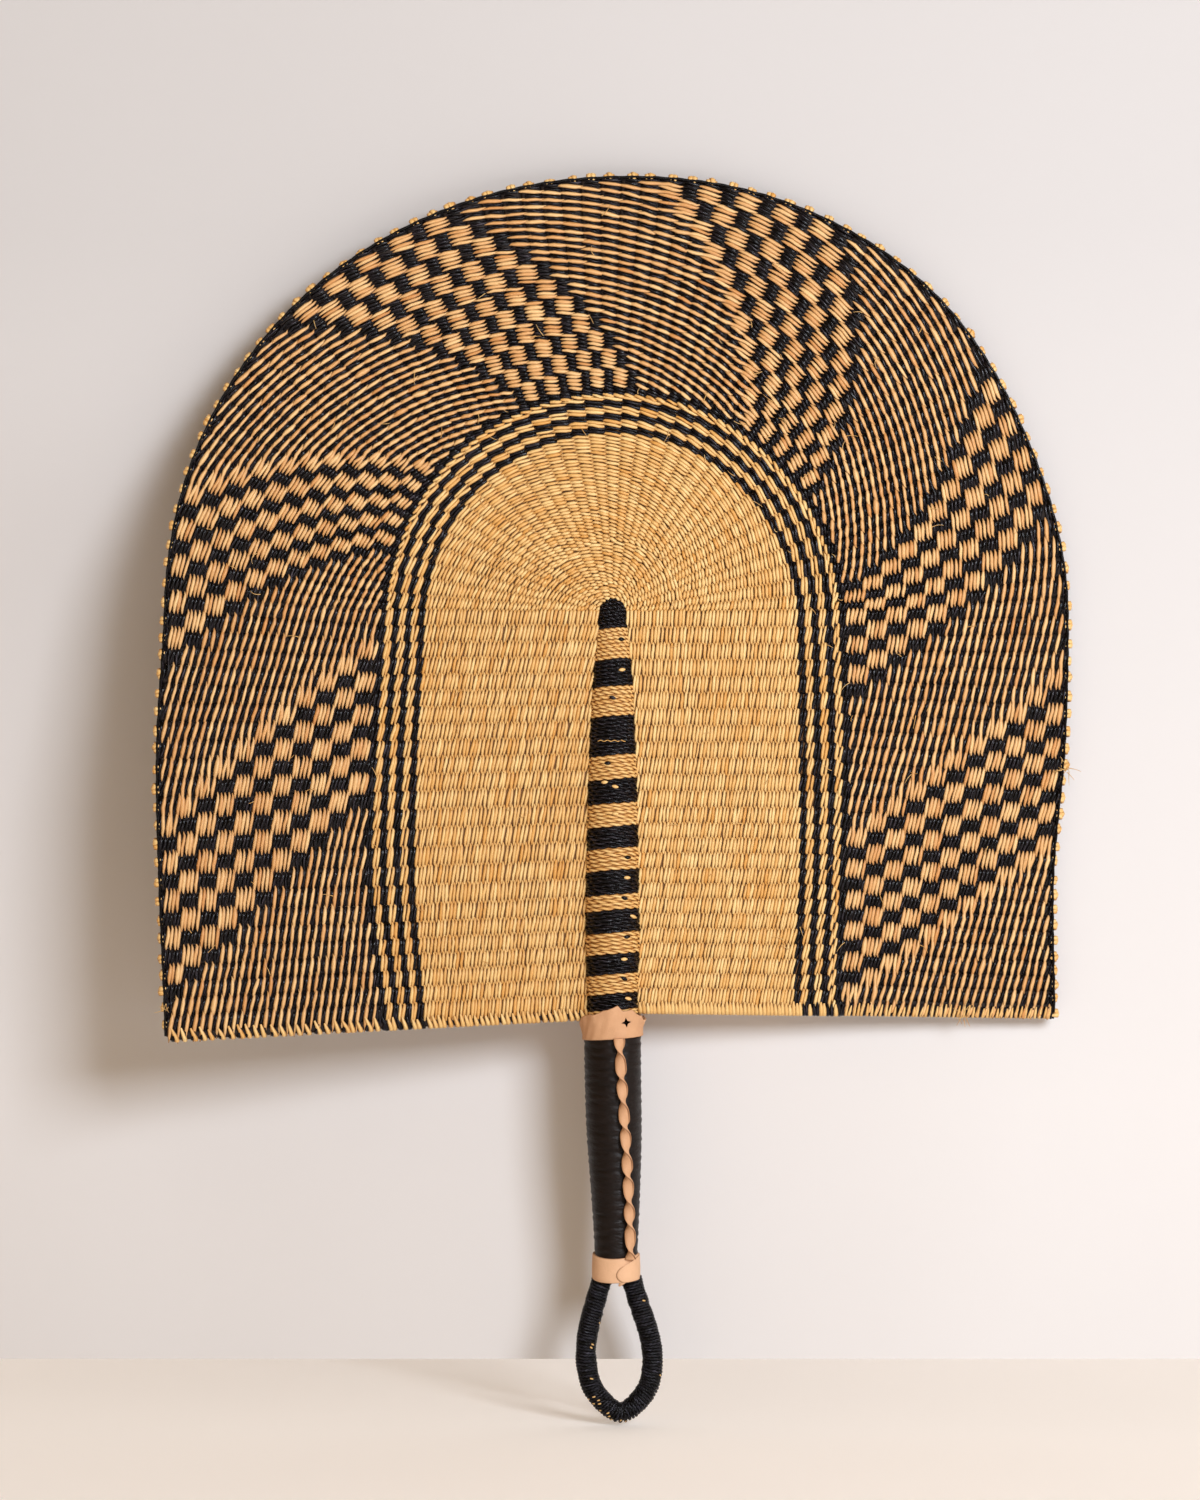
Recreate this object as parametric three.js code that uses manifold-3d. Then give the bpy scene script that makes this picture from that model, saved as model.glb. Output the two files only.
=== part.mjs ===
import * as THREE from 'three';
import Module from 'manifold-3d';
import { mergeVertices } from 'three/addons/utils/BufferGeometryUtils.js';

// A large hand fan twined from grass. A bundle of stalks runs from the grip up through the blade as
// its spine, and turns out into ribs, which the rows of weft bind into one blade.
// Millimetres. +Z runs up the blade, the front faces -Y, and the origin is the middle of the grip.

// Clearance between neighbouring pieces.
const GAP = 0.3;

// Blade: the ribs stand level on both straight sides and fan out over the top, where they lie in
// pairs inside the rings.
const FAN_HEIGHT = 234.2;
const LEFT_RIBS = 23;
const TOP_RIBS = 71;
const TOP_PAIRS = 35;
const RIGHT_RIBS = 24;
// Reach of the blade from its centre line where it is widest. The rim and both sides of the rings
// take shares of it, at even steps up the left side, over the top and down the right side.
const BLADE_REACH = 200.0;
const RIM = {
  left: [0.978, 0.99, 0.996],
  top: [0.979, 0.976, 0.966, 0.955, 0.954, 0.975, 0.9915, 0.9835, 0.996],
  right: [0.99, 0.965, 0.967],
};
const RINGS_INSIDE = {
  left: [0.4125, 0.432, 0.426],
  top: [0.41, 0.401, 0.398, 0.3935, 0.3915, 0.3915, 0.3915, 0.394, 0.404],
  right: [0.4085, 0.408, 0.3955],
};
const RINGS_OUTSIDE = {
  left: [0.508, 0.5385, 0.5295],
  top: [0.508, 0.5015, 0.498, 0.4935, 0.491, 0.4945, 0.4965, 0.5025, 0.51],
  right: [0.5175, 0.5105, 0.5005],
};

// Rows of weft, counted outward from the spine.
const NATURAL_ROWS = 46;
const RING_ROWS = 2;
const RINGS = 7;
const PATTERN_ROWS = 54;
const EDGE_ROWS = 1;

// The cloth is thick over a rib and thin between two.
const CLOTH_HALF = 1.9;
const RIB_RELIEF = 0.4;
const RING_HALF = 2.15;
const FULL_RIB_PITCH = 6.5;
const BOW_LEFT = 6.0;
const BOW_RIGHT = 3.0;

// The last strand runs round the rim and is knotted over the end of every rib.
const RIM_STRAND = 0.8;
const KNOT_RISE = 1.6;
const KNOT_HALF = 1.7;
const STRAND_HALF = 1.0;

// Stitched hems under both halves of the blade: height of the lower edge at the centre line, and
// how far it has dropped at the rim.
const HEM_LEFT = 56.5;
const HEM_RIGHT = 59.0;
const HEM_LEFT_DROP = 10.2;
const HEM_RIGHT_DROP = 2.5;
const HEM_HEIGHT = 4.8;
const HEM_HALF_DEPTH = 2.7;
const HEM_STITCHES = 18;
const STITCH_RELIEF = 0.3;

// Wrapped bundle: its half width where it is thickest, and shares of that at even steps from the fan
// point down to the foot of the bundle, which lies below the middle of the grip.
const BUNDLE_HALF = 11.85;
const BUNDLE_TAPER = [
  0.515, 0.726, 0.852, 0.924, 0.97, 1.0, 0.928, 0.916, 0.895, 0.785, 0.684,
];
const BUNDLE_DROP = 50.0;
const TIP_FLATNESS = 0.6;
const GRIP_FLATNESS = 0.92;
const LEAN = 1.8;
const WRAP = 1.4;
const STALK_RELIEF = 0.12;

// Dyed and plain wraps in turn fill the spine from the tip down to just over the grip. Their heights
// in proportion to each other, and the rise of their turns.
const WRAP_HEIGHTS = [
  13.5, 13.5, 11.8, 13.1, 17.0, 10.5, 10.5, 10.0, 9.6, 9.6, 10.5, 6.6, 10.0, 9.2, 8.8, 8.5, 7.2,
];
const WRAP_RISE = 0.08;
const BARE_NECK = 12.4;

// Leather grip: a laced sleeve between two collars.
const LEATHER = 1.2;
const SLEEVE_TOP = 48.0;
const SLEEVE_DROP = 46.4;
const SLEEVE_RIPPLE = 0.12;
const SEAM = 0.8;
const TOP_COLLAR_HEIGHT = 8.6;
const COLLAR_FLARE = 1.4;
// Rise of the torn upper edge over the collar's height, all round from the right side by the front.
const TORN_EDGE = [-0.6, 1.7, 4.3, 5.6, 3.2, 1.3, -2.2, -1.0, 0.6, 0.0, 1.1, 0.2];
const TORN_STEP = 0.5;
const STAR_POINTS = 4;
const STAR_RADIUS = 2.1;
const STAR_SIDE = 5.9;
const STAR_DROP = 1.2;
const FOOT_COLLAR_HEIGHT = 10.8;
const FOOT_FLARE = 1.0;
const LAP_START = -1.2;

// Lace: a strip twisted along the seam, with one lobe for each half turn.
const LACE_LOBES = 9;
const LACE_SIDES = 6;
const LACE_HALF_WIDTH = 2.5;
const LACE_HALF_THICK = 1.1;
const LACE_SQUASH = 0.62;
const LACE_TOP_ANGLE = 0.2;
const LACE_FOOT_ANGLE = 0.54;

// Hanging loop: a cord bound with grass. Centre line from the left leg round to the right one.
const LOOP_SHAPE = [
  [-5.4, -60.0], [-8.1, -69.3], [-10.3, -78.0], [-11.6, -87.0], [-11.1, -96.5], [-7.9, -106.2],
  [3.6, -115.6], [14.6, -106.2], [17.3, -96.5], [17.1, -87.0], [15.0, -78.0], [12.0, -69.3],
  [9.0, -60.0],
];
const LOOP_RADIUS = 4.6;
const LOOP_CORE_RADIUS = 2.2;
const LOOP_TURNS = 38;
const TURN_RELIEF = 0.35;
const TURN_SLANT = 0.3;

// Points round the bundle, and steps along the smooth rows of weft.
const FACETS = 16;
const SIDE_STEPS = 9;
const TOP_STEPS = 32;

const STRAW = 0xdcb377;
const DYED = 0x1d1a26;
const STALK = 0xc79a58;
const TAN = 0xd6a981;
const BLACK_LEATHER = 0x1e1614;

const RIBS = LEFT_RIBS + TOP_RIBS + RIGHT_RIBS;
const TOP_END = LEFT_RIBS + TOP_RIBS;
const RING_START = NATURAL_ROWS;
const PATTERN_START = RING_START + RINGS * RING_ROWS;
const EDGE_START = PATTERN_START + PATTERN_ROWS;
const ROWS = EDGE_START + EDGE_ROWS;
const BUNDLE_FOOT = -BUNDLE_DROP;
const SLEEVE_FOOT = -SLEEVE_DROP;
const TIP_HALF = BUNDLE_HALF * BUNDLE_TAPER[0];
const SPINE_TOP = FAN_HEIGHT + TIP_HALF;
const SPINE_FOOT = SLEEVE_TOP + BARE_NECK;
const WRAP_SHARE = (SPINE_TOP - SPINE_FOOT) / WRAP_HEIGHTS.reduce((sum, height) => sum + height, 0);

const wasm = await Module();
wasm.setup();

const fan = new THREE.Group();

function add(name, geometry, color, roughness) {
  geometry.computeVertexNormals();
  const material = new THREE.MeshStandardMaterial({ color, roughness, metalness: 0 });
  const mesh = new THREE.Mesh(geometry, material);
  mesh.name = name;
  fan.add(mesh);
}

// Volume inside a triangle mesh, negative where its faces point inward.
function signedVolume(points, faces) {
  let total = 0;
  for (const [a, b, c] of faces) {
    const p = new THREE.Vector3(...points[a]);
    const q = new THREE.Vector3(...points[b]);
    const r = new THREE.Vector3(...points[c]);
    total += p.dot(q.cross(r)) / 6;
  }
  return total;
}

// Skins a run of rings that have the same number of points. A closed run joins its last ring to its
// first, and an open one gets a flat fan at each end.
function loft(rings, closed) {
  const size = rings[0].length;
  const points = rings.flat();
  const faces = [];
  const spans = closed ? rings.length : rings.length - 1;
  for (let k = 0; k < spans; k += 1) {
    const here = k * size;
    const there = ((k + 1) % rings.length) * size;
    for (let i = 0; i < size; i += 1) {
      const next = (i + 1) % size;
      faces.push([here + i, here + next, there + next]);
      faces.push([here + i, there + next, there + i]);
    }
  }
  if (!closed) {
    addCap(points, faces, 0, size, true);
    addCap(points, faces, (rings.length - 1) * size, size, false);
  }
  const flip = signedVolume(points, faces) < 0;
  const geometry = new THREE.BufferGeometry();
  geometry.setAttribute('position', new THREE.Float32BufferAttribute(points.flat(), 3));
  geometry.setIndex(faces.flatMap(([a, b, c]) => (flip ? [a, c, b] : [a, b, c])));
  return geometry;
}

function addCap(points, faces, start, size, first) {
  const middle = [0, 1, 2].map((axis) => {
    let sum = 0;
    for (let i = 0; i < size; i += 1) sum += points[start + i][axis];
    return sum / size;
  });
  const centre = points.push(middle) - 1;
  for (let i = 0; i < size; i += 1) {
    const a = start + i;
    const b = start + ((i + 1) % size);
    faces.push(first ? [centre, b, a] : [centre, a, b]);
  }
}

function toManifold(geometry) {
  const bare = geometry.index ? geometry.clone() : mergeVertices(stripped(geometry));
  return new wasm.Manifold(new wasm.Mesh({
    numProp: 3,
    vertProperties: new Float32Array(bare.attributes.position.array),
    triVerts: new Uint32Array(bare.index.array),
  }));
}

function stripped(geometry) {
  const bare = geometry.clone();
  bare.deleteAttribute('normal');
  bare.deleteAttribute('uv');
  return bare;
}

function toGeometry(solid) {
  const mesh = solid.getMesh();
  const geometry = new THREE.BufferGeometry();
  geometry.setAttribute('position', new THREE.BufferAttribute(mesh.vertProperties, 3));
  geometry.setIndex(new THREE.BufferAttribute(mesh.triVerts, 1));
  return geometry;
}

function steps(count) {
  return Array.from({ length: count + 1 }, (_, k) => k / count);
}

// Smooth value along evenly spaced stations.
function along(stations, share) {
  const line = new THREE.SplineCurve(stations.map((value, k) => new THREE.Vector2(k, value)));
  return line.getPoint(THREE.MathUtils.clamp(share, 0, 1)).y;
}

// Wrapped bundle.

function bundleHalf(z) {
  return BUNDLE_HALF * along(BUNDLE_TAPER, (FAN_HEIGHT - z) / (FAN_HEIGHT - BUNDLE_FOOT));
}

function bundleDepth(z) {
  const share = THREE.MathUtils.clamp((FAN_HEIGHT - z) / (FAN_HEIGHT - SLEEVE_TOP), 0, 1);
  return bundleHalf(z) * THREE.MathUtils.lerp(TIP_FLATNESS, GRIP_FLATNESS, share);
}

function bundleCentre(z) {
  return LEAN * THREE.MathUtils.smoothstep(SLEEVE_TOP - z, 0, SLEEVE_TOP - SLEEVE_FOOT);
}

// Oval ring round the bundle. A turn rises across the width by its slope.
function oval(z, grow, slope = 0) {
  return Array.from({ length: FACETS }, (_, i) => {
    const angle = (2 * Math.PI * i) / FACETS;
    const x = (bundleHalf(z) + grow) * Math.cos(angle);
    const y = -(bundleDepth(z) + grow) * Math.sin(angle);
    return [bundleCentre(z) + x, y, z + slope * x];
  });
}

// Blade. Places on it count the ribs, u, from the left hem over the top to the right hem.
function reachAt(u, { left, top, right }) {
  const topStart = left.length;
  const topEnd = topStart + top.length - 1;
  let place = (u / LEFT_RIBS) * topStart;
  if (u > TOP_END) {
    place = topEnd + ((u - TOP_END) / RIGHT_RIBS) * right.length;
  } else if (u > LEFT_RIBS) {
    place = topStart + ((u - LEFT_RIBS) / TOP_RIBS) * (topEnd - topStart);
  }
  return BLADE_REACH * along([...left, ...top, ...right], place / (topEnd + right.length));
}

function rimReach(u) {
  return reachAt(u, RIM);
}

function hemFoot(x) {
  const share = Math.abs(x) / BLADE_REACH;
  return x < 0 ? HEM_LEFT - HEM_LEFT_DROP * share : HEM_RIGHT - HEM_RIGHT_DROP * share;
}

function bow(x) {
  return -(x < 0 ? BOW_LEFT : BOW_RIGHT) * (x / BLADE_REACH) ** 2;
}

// The distance v runs from the centre line or, over the top, from the fan point.
function bladePoint(u, v, offset) {
  if (u > LEFT_RIBS && u < TOP_END) {
    const angle = (Math.PI * (u - LEFT_RIBS)) / TOP_RIBS;
    const x = -v * Math.cos(angle);
    return [x, bow(x) + offset, FAN_HEIGHT + v * Math.sin(angle)];
  }
  const x = u < TOP_END ? -v : v;
  const share = u < TOP_END ? u / LEFT_RIBS : (RIBS - u) / RIGHT_RIBS;
  const foot = hemFoot(x) + HEM_HEIGHT + GAP;
  return [x, bow(x) + offset, THREE.MathUtils.lerp(foot, FAN_HEIGHT, share)];
}

function spineReach(u) {
  const near = u < TOP_END ? TIP_HALF : TIP_HALF + GAP;
  return bundleHalf(bladePoint(u, near, 0)[2]) + GAP / 2;
}

function edgeReach(u) {
  return rimReach(u) - RIM_STRAND - GAP;
}

function rowReach(u, row) {
  const inside = reachAt(u, RINGS_INSIDE);
  const outside = reachAt(u, RINGS_OUTSIDE);
  const span = (low, high, first, last) => (
    THREE.MathUtils.lerp(low, high, (row - first) / (last - first))
  );
  if (row <= RING_START) return span(spineReach(u), inside, 0, RING_START);
  if (row <= PATTERN_START) return span(inside, outside, RING_START, PATTERN_START);
  return span(outside, edgeReach(u), PATTERN_START, ROWS);
}

// Inside the rings two neighbouring ribs of the top lie together as one.
function innerRib(u) {
  if (u < LEFT_RIBS) return u;
  if (u > TOP_END) return LEFT_RIBS + TOP_PAIRS + (u - TOP_END);
  return LEFT_RIBS + ((u - LEFT_RIBS) * TOP_PAIRS) / TOP_RIBS;
}

function clothHalf(rib, pitch) {
  const relief = RIB_RELIEF * Math.min(1, pitch / FULL_RIB_PITCH);
  return CLOTH_HALF - relief * Math.cos(2 * Math.PI * rib);
}

function innerHalf(u, v) {
  const fanned = u > LEFT_RIBS && u < TOP_END;
  return clothHalf(innerRib(u), fanned ? (Math.PI * v) / TOP_PAIRS : FULL_RIB_PITCH);
}

function outerHalf(u) {
  return clothHalf(u, FULL_RIB_PITCH);
}

function innerStations() {
  return [
    ...steps(LEFT_RIBS * 2).map((t) => t * LEFT_RIBS),
    ...steps(TOP_PAIRS * 2).slice(1).map((t) => LEFT_RIBS + t * TOP_RIBS),
    ...steps(RIGHT_RIBS * 2).slice(1).map((t) => TOP_END + t * RIGHT_RIBS),
  ];
}

function outerStations() {
  return Array.from({ length: RIBS * 2 + 1 }, (_, k) => k / 2);
}

function plainStations(side, top) {
  return [
    ...steps(side).map((t) => t * LEFT_RIBS),
    ...steps(top).slice(1).map((t) => LEFT_RIBS + t * TOP_RIBS),
    ...steps(side).slice(1).map((t) => TOP_END + t * RIGHT_RIBS),
  ];
}

// A band of weft rows that runs from one hem over the top to the other.
function weftBand(stations, innerRow, outerRow, half) {
  return loft(stations.map((u) => {
    const inner = rowReach(u, innerRow) + GAP / 2;
    const outer = rowReach(u, outerRow) - GAP / 2;
    return [
      bladePoint(u, inner, -half(u, inner)),
      bladePoint(u, outer, -half(u, outer)),
      bladePoint(u, outer, half(u, outer)),
      bladePoint(u, inner, half(u, inner)),
    ];
  }), false);
}

// The strand round the rim, thick where it is knotted over a rib's end.
function rimStrand() {
  return loft(outerStations().map((u, k) => rimSection(u, k % 2 === 1)), false);
}

function rimSection(u, knot) {
  const inner = rimReach(u) - RIM_STRAND;
  const outer = rimReach(u) + (knot ? KNOT_RISE - RIM_STRAND : 0);
  const half = knot ? KNOT_HALF : STRAND_HALF;
  return [
    bladePoint(u, inner, -STRAND_HALF),
    bladePoint(u, outer, -half),
    bladePoint(u, outer, half),
    bladePoint(u, inner, STRAND_HALF),
  ];
}

// Whipped hem below the last rib, from the spine out to the corner of the blade.
function hem(side) {
  const start = spineReach(side < 0 ? 0 : RIBS) + GAP / 2;
  const end = rimReach(side < 0 ? 0 : RIBS);
  const sides = 6;
  return loft(steps(HEM_STITCHES * 2).map((t, k) => {
    const x = side * THREE.MathUtils.lerp(start, end, t);
    const shrink = k % 2 ? 0 : STITCH_RELIEF;
    return Array.from({ length: sides }, (_, i) => {
      const angle = (Math.PI * (2 * i + 1)) / sides;
      const tall = (HEM_HEIGHT / 2 - shrink) * Math.sin(angle);
      const deep = (HEM_HALF_DEPTH - shrink) * Math.cos(angle);
      return [x, bow(x) + deep, hemFoot(x) + HEM_HEIGHT / 2 + tall];
    });
  }), false);
}

// Spine wraps, and what they are wound on.
function wrapBand(top, foot) {
  return loft([
    oval(foot + GAP / 2, 0, WRAP_RISE),
    oval(top - GAP / 2, 0, WRAP_RISE),
    oval(top - GAP / 2, -WRAP, WRAP_RISE),
    oval(foot + GAP / 2, -WRAP, WRAP_RISE),
  ], true);
}

// The uppermost wrap closes over the tip of the bundle as a small dome with a blind bore.
function tipWrap(foot) {
  const rise = TIP_HALF;
  const dome = [0.3, 0.6, 0.85].map((share) => {
    const angle = (share * Math.PI) / 2;
    const shrink = Math.cos(angle);
    return oval(FAN_HEIGHT, 0).map(([x, y]) => [
      x * shrink, y * shrink, FAN_HEIGHT + rise * Math.sin(angle),
    ]);
  });
  return loft([
    oval(FAN_HEIGHT - WRAP, -WRAP),
    oval(foot + GAP / 2, -WRAP, WRAP_RISE),
    oval(foot + GAP / 2, 0, WRAP_RISE),
    oval(FAN_HEIGHT, 0),
    ...dome,
  ], false);
}

// The bundle's outline is fluted by the round stalks that lie on its outside.
function stalkBundle() {
  const top = FAN_HEIGHT - WRAP - GAP;
  return loft(steps(8).map((t) => {
    const z = THREE.MathUtils.lerp(BUNDLE_FOOT, top, t);
    const outer = oval(z, -WRAP - GAP);
    return outer.map(([x, y], i) => {
      const share = i % 2 ? 1 - STALK_RELIEF : 1;
      const centre = bundleCentre(z);
      return [centre + (x - centre) * share, y * share, z];
    });
  }), false);
}

function gripWrapping() {
  const top = SPINE_FOOT - GAP / 2;
  const levels = steps(4).map((t) => THREE.MathUtils.lerp(BUNDLE_FOOT, top, t));
  const slope = (z) => (z === top ? WRAP_RISE : 0);
  const outside = levels.map((z) => oval(z, 0, slope(z)));
  const inside = levels.map((z) => oval(z, -WRAP, slope(z))).reverse();
  return loft([...outside, ...inside], true);
}

// Leather grip.
function sleeve() {
  const top = SLEEVE_TOP;
  const levels = steps(12);
  const outside = levels.map((t, k) => {
    const z = THREE.MathUtils.lerp(SLEEVE_FOOT, top, t);
    const ripple = k % 2 ? 0 : -SLEEVE_RIPPLE;
    return oval(z, GAP + LEATHER + ripple);
  });
  const inside = steps(4).map((t) => oval(THREE.MathUtils.lerp(top, SLEEVE_FOOT, t), GAP));
  const tube = toManifold(loft([...outside, ...inside], true));
  return toGeometry(tube.subtract(toManifold(seamCutter())));
}

// Thin wall that parts the sleeve along the line of the lace.
function seamCutter() {
  const reach = 2 * (BUNDLE_HALF + LEATHER);
  const near = bundleHalf(SLEEVE_TOP) / 2;
  return loft([SLEEVE_FOOT - LEATHER, 0, SLEEVE_TOP + LEATHER].map((z) => {
    const angle = laceAngle(z);
    const out = new THREE.Vector2(Math.sin(angle), -Math.cos(angle));
    const across = new THREE.Vector2(-out.y, out.x).multiplyScalar(SEAM / 2);
    const centre = new THREE.Vector2(bundleCentre(z), 0);
    return [[near, 1], [reach, 1], [reach, -1], [near, -1]].map(([distance, side]) => {
      const p = centre.clone().addScaledVector(out, distance).addScaledVector(across, side);
      return [p.x, p.y, z];
    });
  }), false);
}

function tornRise(share) {
  return along([...TORN_EDGE, TORN_EDGE[0]], share);
}

function topCollar() {
  const foot = SLEEVE_TOP + GAP;
  const around = FACETS * 2;
  const ring = (grow, height) => Array.from({ length: around }, (_, i) => {
    const share = i / around;
    const angle = 2 * Math.PI * share;
    const torn = tornRise(share) + (i % 2 ? TORN_STEP : 0);
    const z = foot + height * (TOP_COLLAR_HEIGHT + torn);
    const flare = COLLAR_FLARE * height * height;
    const half = bundleHalf(foot) + GAP + grow + flare;
    const deep = bundleDepth(foot) + GAP + grow + flare;
    return [half * Math.cos(angle), -deep * Math.sin(angle), z];
  });
  const outside = [0, 0.5, 1].map((height) => ring(LEATHER, height));
  const inside = [1, 0.5, 0].map((height) => ring(0, height));
  const band = toManifold(loft([...outside, ...inside], true));
  return toGeometry(band.subtract(toManifold(starCutter(foot))));
}

// Four-pointed slit cut through the front of the upper collar.
function starCutter(foot) {
  const star = new THREE.Shape(Array.from({ length: STAR_POINTS * 2 }, (_, i) => {
    const radius = i % 2 ? STAR_RADIUS * 0.42 : STAR_RADIUS;
    const angle = (Math.PI * i) / STAR_POINTS;
    return new THREE.Vector2(radius * Math.cos(angle), radius * Math.sin(angle));
  }));
  const deep = bundleDepth(foot) + LEATHER * 4;
  const cutter = new THREE.ExtrudeGeometry(star, { depth: deep, bevelEnabled: false });
  cutter.rotateX(Math.PI / 2);
  cutter.translate(STAR_SIDE, 0, foot + TOP_COLLAR_HEIGHT - STAR_DROP);
  return cutter;
}

function footCollar() {
  const top = SLEEVE_FOOT - GAP;
  const foot = top - FOOT_COLLAR_HEIGHT;
  const shell = (inner, outer, high, low) => loft([
    oval(low, outer + FOOT_FLARE), oval(high, outer),
    oval(high, inner), oval(low, inner + FOOT_FLARE),
  ], true);
  const inner = GAP;
  const outer = GAP + LEATHER;
  const band = toManifold(shell(inner, outer, top, foot));
  const lap = toManifold(shell(inner, outer + LEATHER, top, foot - LEATHER / 2));
  const end = lap.intersect(toManifold(lapOutline(top, foot)));
  return toGeometry(band.add(end));
}

// Front outline of the strap end that laps over the lower collar, with its small tongue.
function lapOutline(top, foot) {
  const centre = bundleCentre(foot);
  const radius = FOOT_COLLAR_HEIGHT / 2;
  const left = centre + LAP_START;
  const right = centre + bundleHalf(foot) + LEATHER * 6;
  const shape = new THREE.Shape();
  shape.moveTo(right, top);
  shape.lineTo(left + radius, top);
  shape.absarc(left + radius, top - radius, radius, Math.PI / 2, Math.PI * 1.3, false);
  shape.lineTo(left + radius, foot - LEATHER / 2);
  shape.lineTo(right, foot);
  const deep = 2 * bundleDepth(foot);
  const depth = { depth: deep, bevelEnabled: false, curveSegments: 10 };
  const outline = new THREE.ExtrudeGeometry(shape, depth);
  outline.rotateX(Math.PI / 2);
  return outline;
}

// Lace along the seam of the sleeve.
function laceAngle(z) {
  const share = (SLEEVE_TOP - z) / (SLEEVE_TOP - SLEEVE_FOOT);
  return THREE.MathUtils.lerp(LACE_TOP_ANGLE, LACE_FOOT_ANGLE, share);
}

function lace() {
  const perLobe = 5;
  const top = SLEEVE_TOP - GAP;
  const foot = SLEEVE_FOOT + GAP;
  const off = GAP * 2 + LEATHER + LACE_HALF_WIDTH * LACE_SQUASH;
  const count = LACE_LOBES * perLobe;
  return loft(steps(count).map((t) => {
    const z = THREE.MathUtils.lerp(top, foot, t);
    const angle = laceAngle(z);
    const out = new THREE.Vector2(Math.sin(angle), -Math.cos(angle));
    const across = new THREE.Vector2(-out.y, out.x);
    const x = bundleCentre(z) + (bundleHalf(z) + off) * Math.sin(angle);
    const y = -(bundleDepth(z) + off) * Math.cos(angle);
    const turn = Math.PI * LACE_LOBES * t;
    return Array.from({ length: LACE_SIDES }, (_, i) => {
      const around = (2 * Math.PI * i) / LACE_SIDES;
      const wide = LACE_HALF_WIDTH * Math.cos(around);
      const thick = LACE_HALF_THICK * Math.sin(around);
      const sideways = wide * Math.cos(turn) - thick * Math.sin(turn);
      const outward = (wide * Math.sin(turn) + thick * Math.cos(turn)) * LACE_SQUASH;
      return [
        x + across.x * sideways + out.x * outward,
        y + across.y * sideways + out.y * outward,
        z,
      ];
    });
  }), false);
}

// Hanging loop.
function loopLine(points) {
  const lifted = points.map(([x, z]) => new THREE.Vector3(x, 0, z));
  return new THREE.CatmullRomCurve3(lifted, false, 'centripetal');
}

// Round section of the loop, leaning along the line as the slanting turns do.
function loopRing(line, t, radius, slant, sides) {
  const middle = line.getPointAt(t);
  const tangent = line.getTangentAt(t);
  const side = new THREE.Vector3(tangent.z, 0, -tangent.x);
  return Array.from({ length: sides }, (_, i) => {
    const angle = (2 * Math.PI * i) / sides;
    const across = radius * Math.cos(angle);
    const lean = slant * radius * Math.sin(angle);
    return [
      middle.x + side.x * across + tangent.x * lean,
      radius * Math.sin(angle),
      middle.z + side.z * across + tangent.z * lean,
    ];
  });
}

function loopWrapping() {
  const line = loopLine(LOOP_SHAPE);
  const sides = 8;
  const outside = steps(LOOP_TURNS * 2).map((t, k) => {
    const atEnd = k === 0 || k === LOOP_TURNS * 2;
    const radius = k % 2 ? LOOP_RADIUS : LOOP_RADIUS - TURN_RELIEF;
    return loopRing(line, t, radius, atEnd ? 0 : TURN_SLANT, sides);
  });
  const bore = LOOP_CORE_RADIUS + GAP;
  const inside = steps(24).map((t) => loopRing(line, 1 - t, bore, 0, sides));
  return loft([...outside, ...inside], true);
}

// The cord inside runs on up into the grip, where its two ends are bound below the bundle.
function loopCore() {
  const top = BUNDLE_FOOT - GAP;
  const half = LOOP_CORE_RADIUS + GAP * 4;
  const centre = bundleCentre(top);
  const straight = top - LOOP_CORE_RADIUS;
  const left = [[centre - half, top], [centre - half, straight]];
  const right = [[centre + half, straight], [centre + half, top]];
  const line = loopLine([...left, ...LOOP_SHAPE, ...right]);
  return loft(steps(32).map((t) => loopRing(line, t, LOOP_CORE_RADIUS, 0, 6)), false);
}

add('stalk_bundle', stalkBundle(), STALK, 0.8);
add('grip_wrapping', gripWrapping(), STRAW, 0.7);

let bandTop = SPINE_TOP;
WRAP_HEIGHTS.forEach((height, k) => {
  const foot = bandTop - height * WRAP_SHARE;
  const dyed = k % 2 === 0;
  const name = `spine_wrap_${dyed ? 'black' : 'straw'}_${Math.floor(k / 2) + 1}`;
  add(name, k === 0 ? tipWrap(foot) : wrapBand(bandTop, foot), dyed ? DYED : STRAW, 0.6);
  bandTop = foot;
});

add('natural_field', weftBand(innerStations(), 0, RING_START, innerHalf), STRAW, 0.7);

for (let k = 0; k < RINGS; k += 1) {
  const start = RING_START + k * RING_ROWS;
  const dyed = k % 2 === 0;
  const name = `ring_${dyed ? 'black' : 'straw'}_${Math.floor(k / 2) + 1}`;
  const stops = plainStations(SIDE_STEPS, TOP_STEPS);
  const band = weftBand(stops, start, start + RING_ROWS, () => RING_HALF);
  add(name, band, dyed ? DYED : STRAW, 0.65);
}

const patterned = weftBand(outerStations(), PATTERN_START, EDGE_START, outerHalf);
add('patterned_field', patterned, 0x8a7050, 0.65);
const edgeStops = plainStations(SIDE_STEPS * 2, TOP_STEPS * 2);
const edgeRow = weftBand(edgeStops, EDGE_START, ROWS, () => CLOTH_HALF);
add('edge_row', edgeRow, DYED, 0.65);
add('rim_strand', rimStrand(), STRAW, 0.65);
add('hem_left', hem(-1), STRAW, 0.7);
add('hem_right', hem(1), STRAW, 0.7);

add('leather_sleeve', sleeve(), BLACK_LEATHER, 0.5);
add('top_collar', topCollar(), TAN, 0.75);
add('foot_collar', footCollar(), TAN, 0.75);
add('twisted_lace', lace(), TAN, 0.75);

add('loop_core', loopCore(), STALK, 0.8);
add('loop_wrapping', loopWrapping(), DYED, 0.55);

export default fan;
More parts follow.
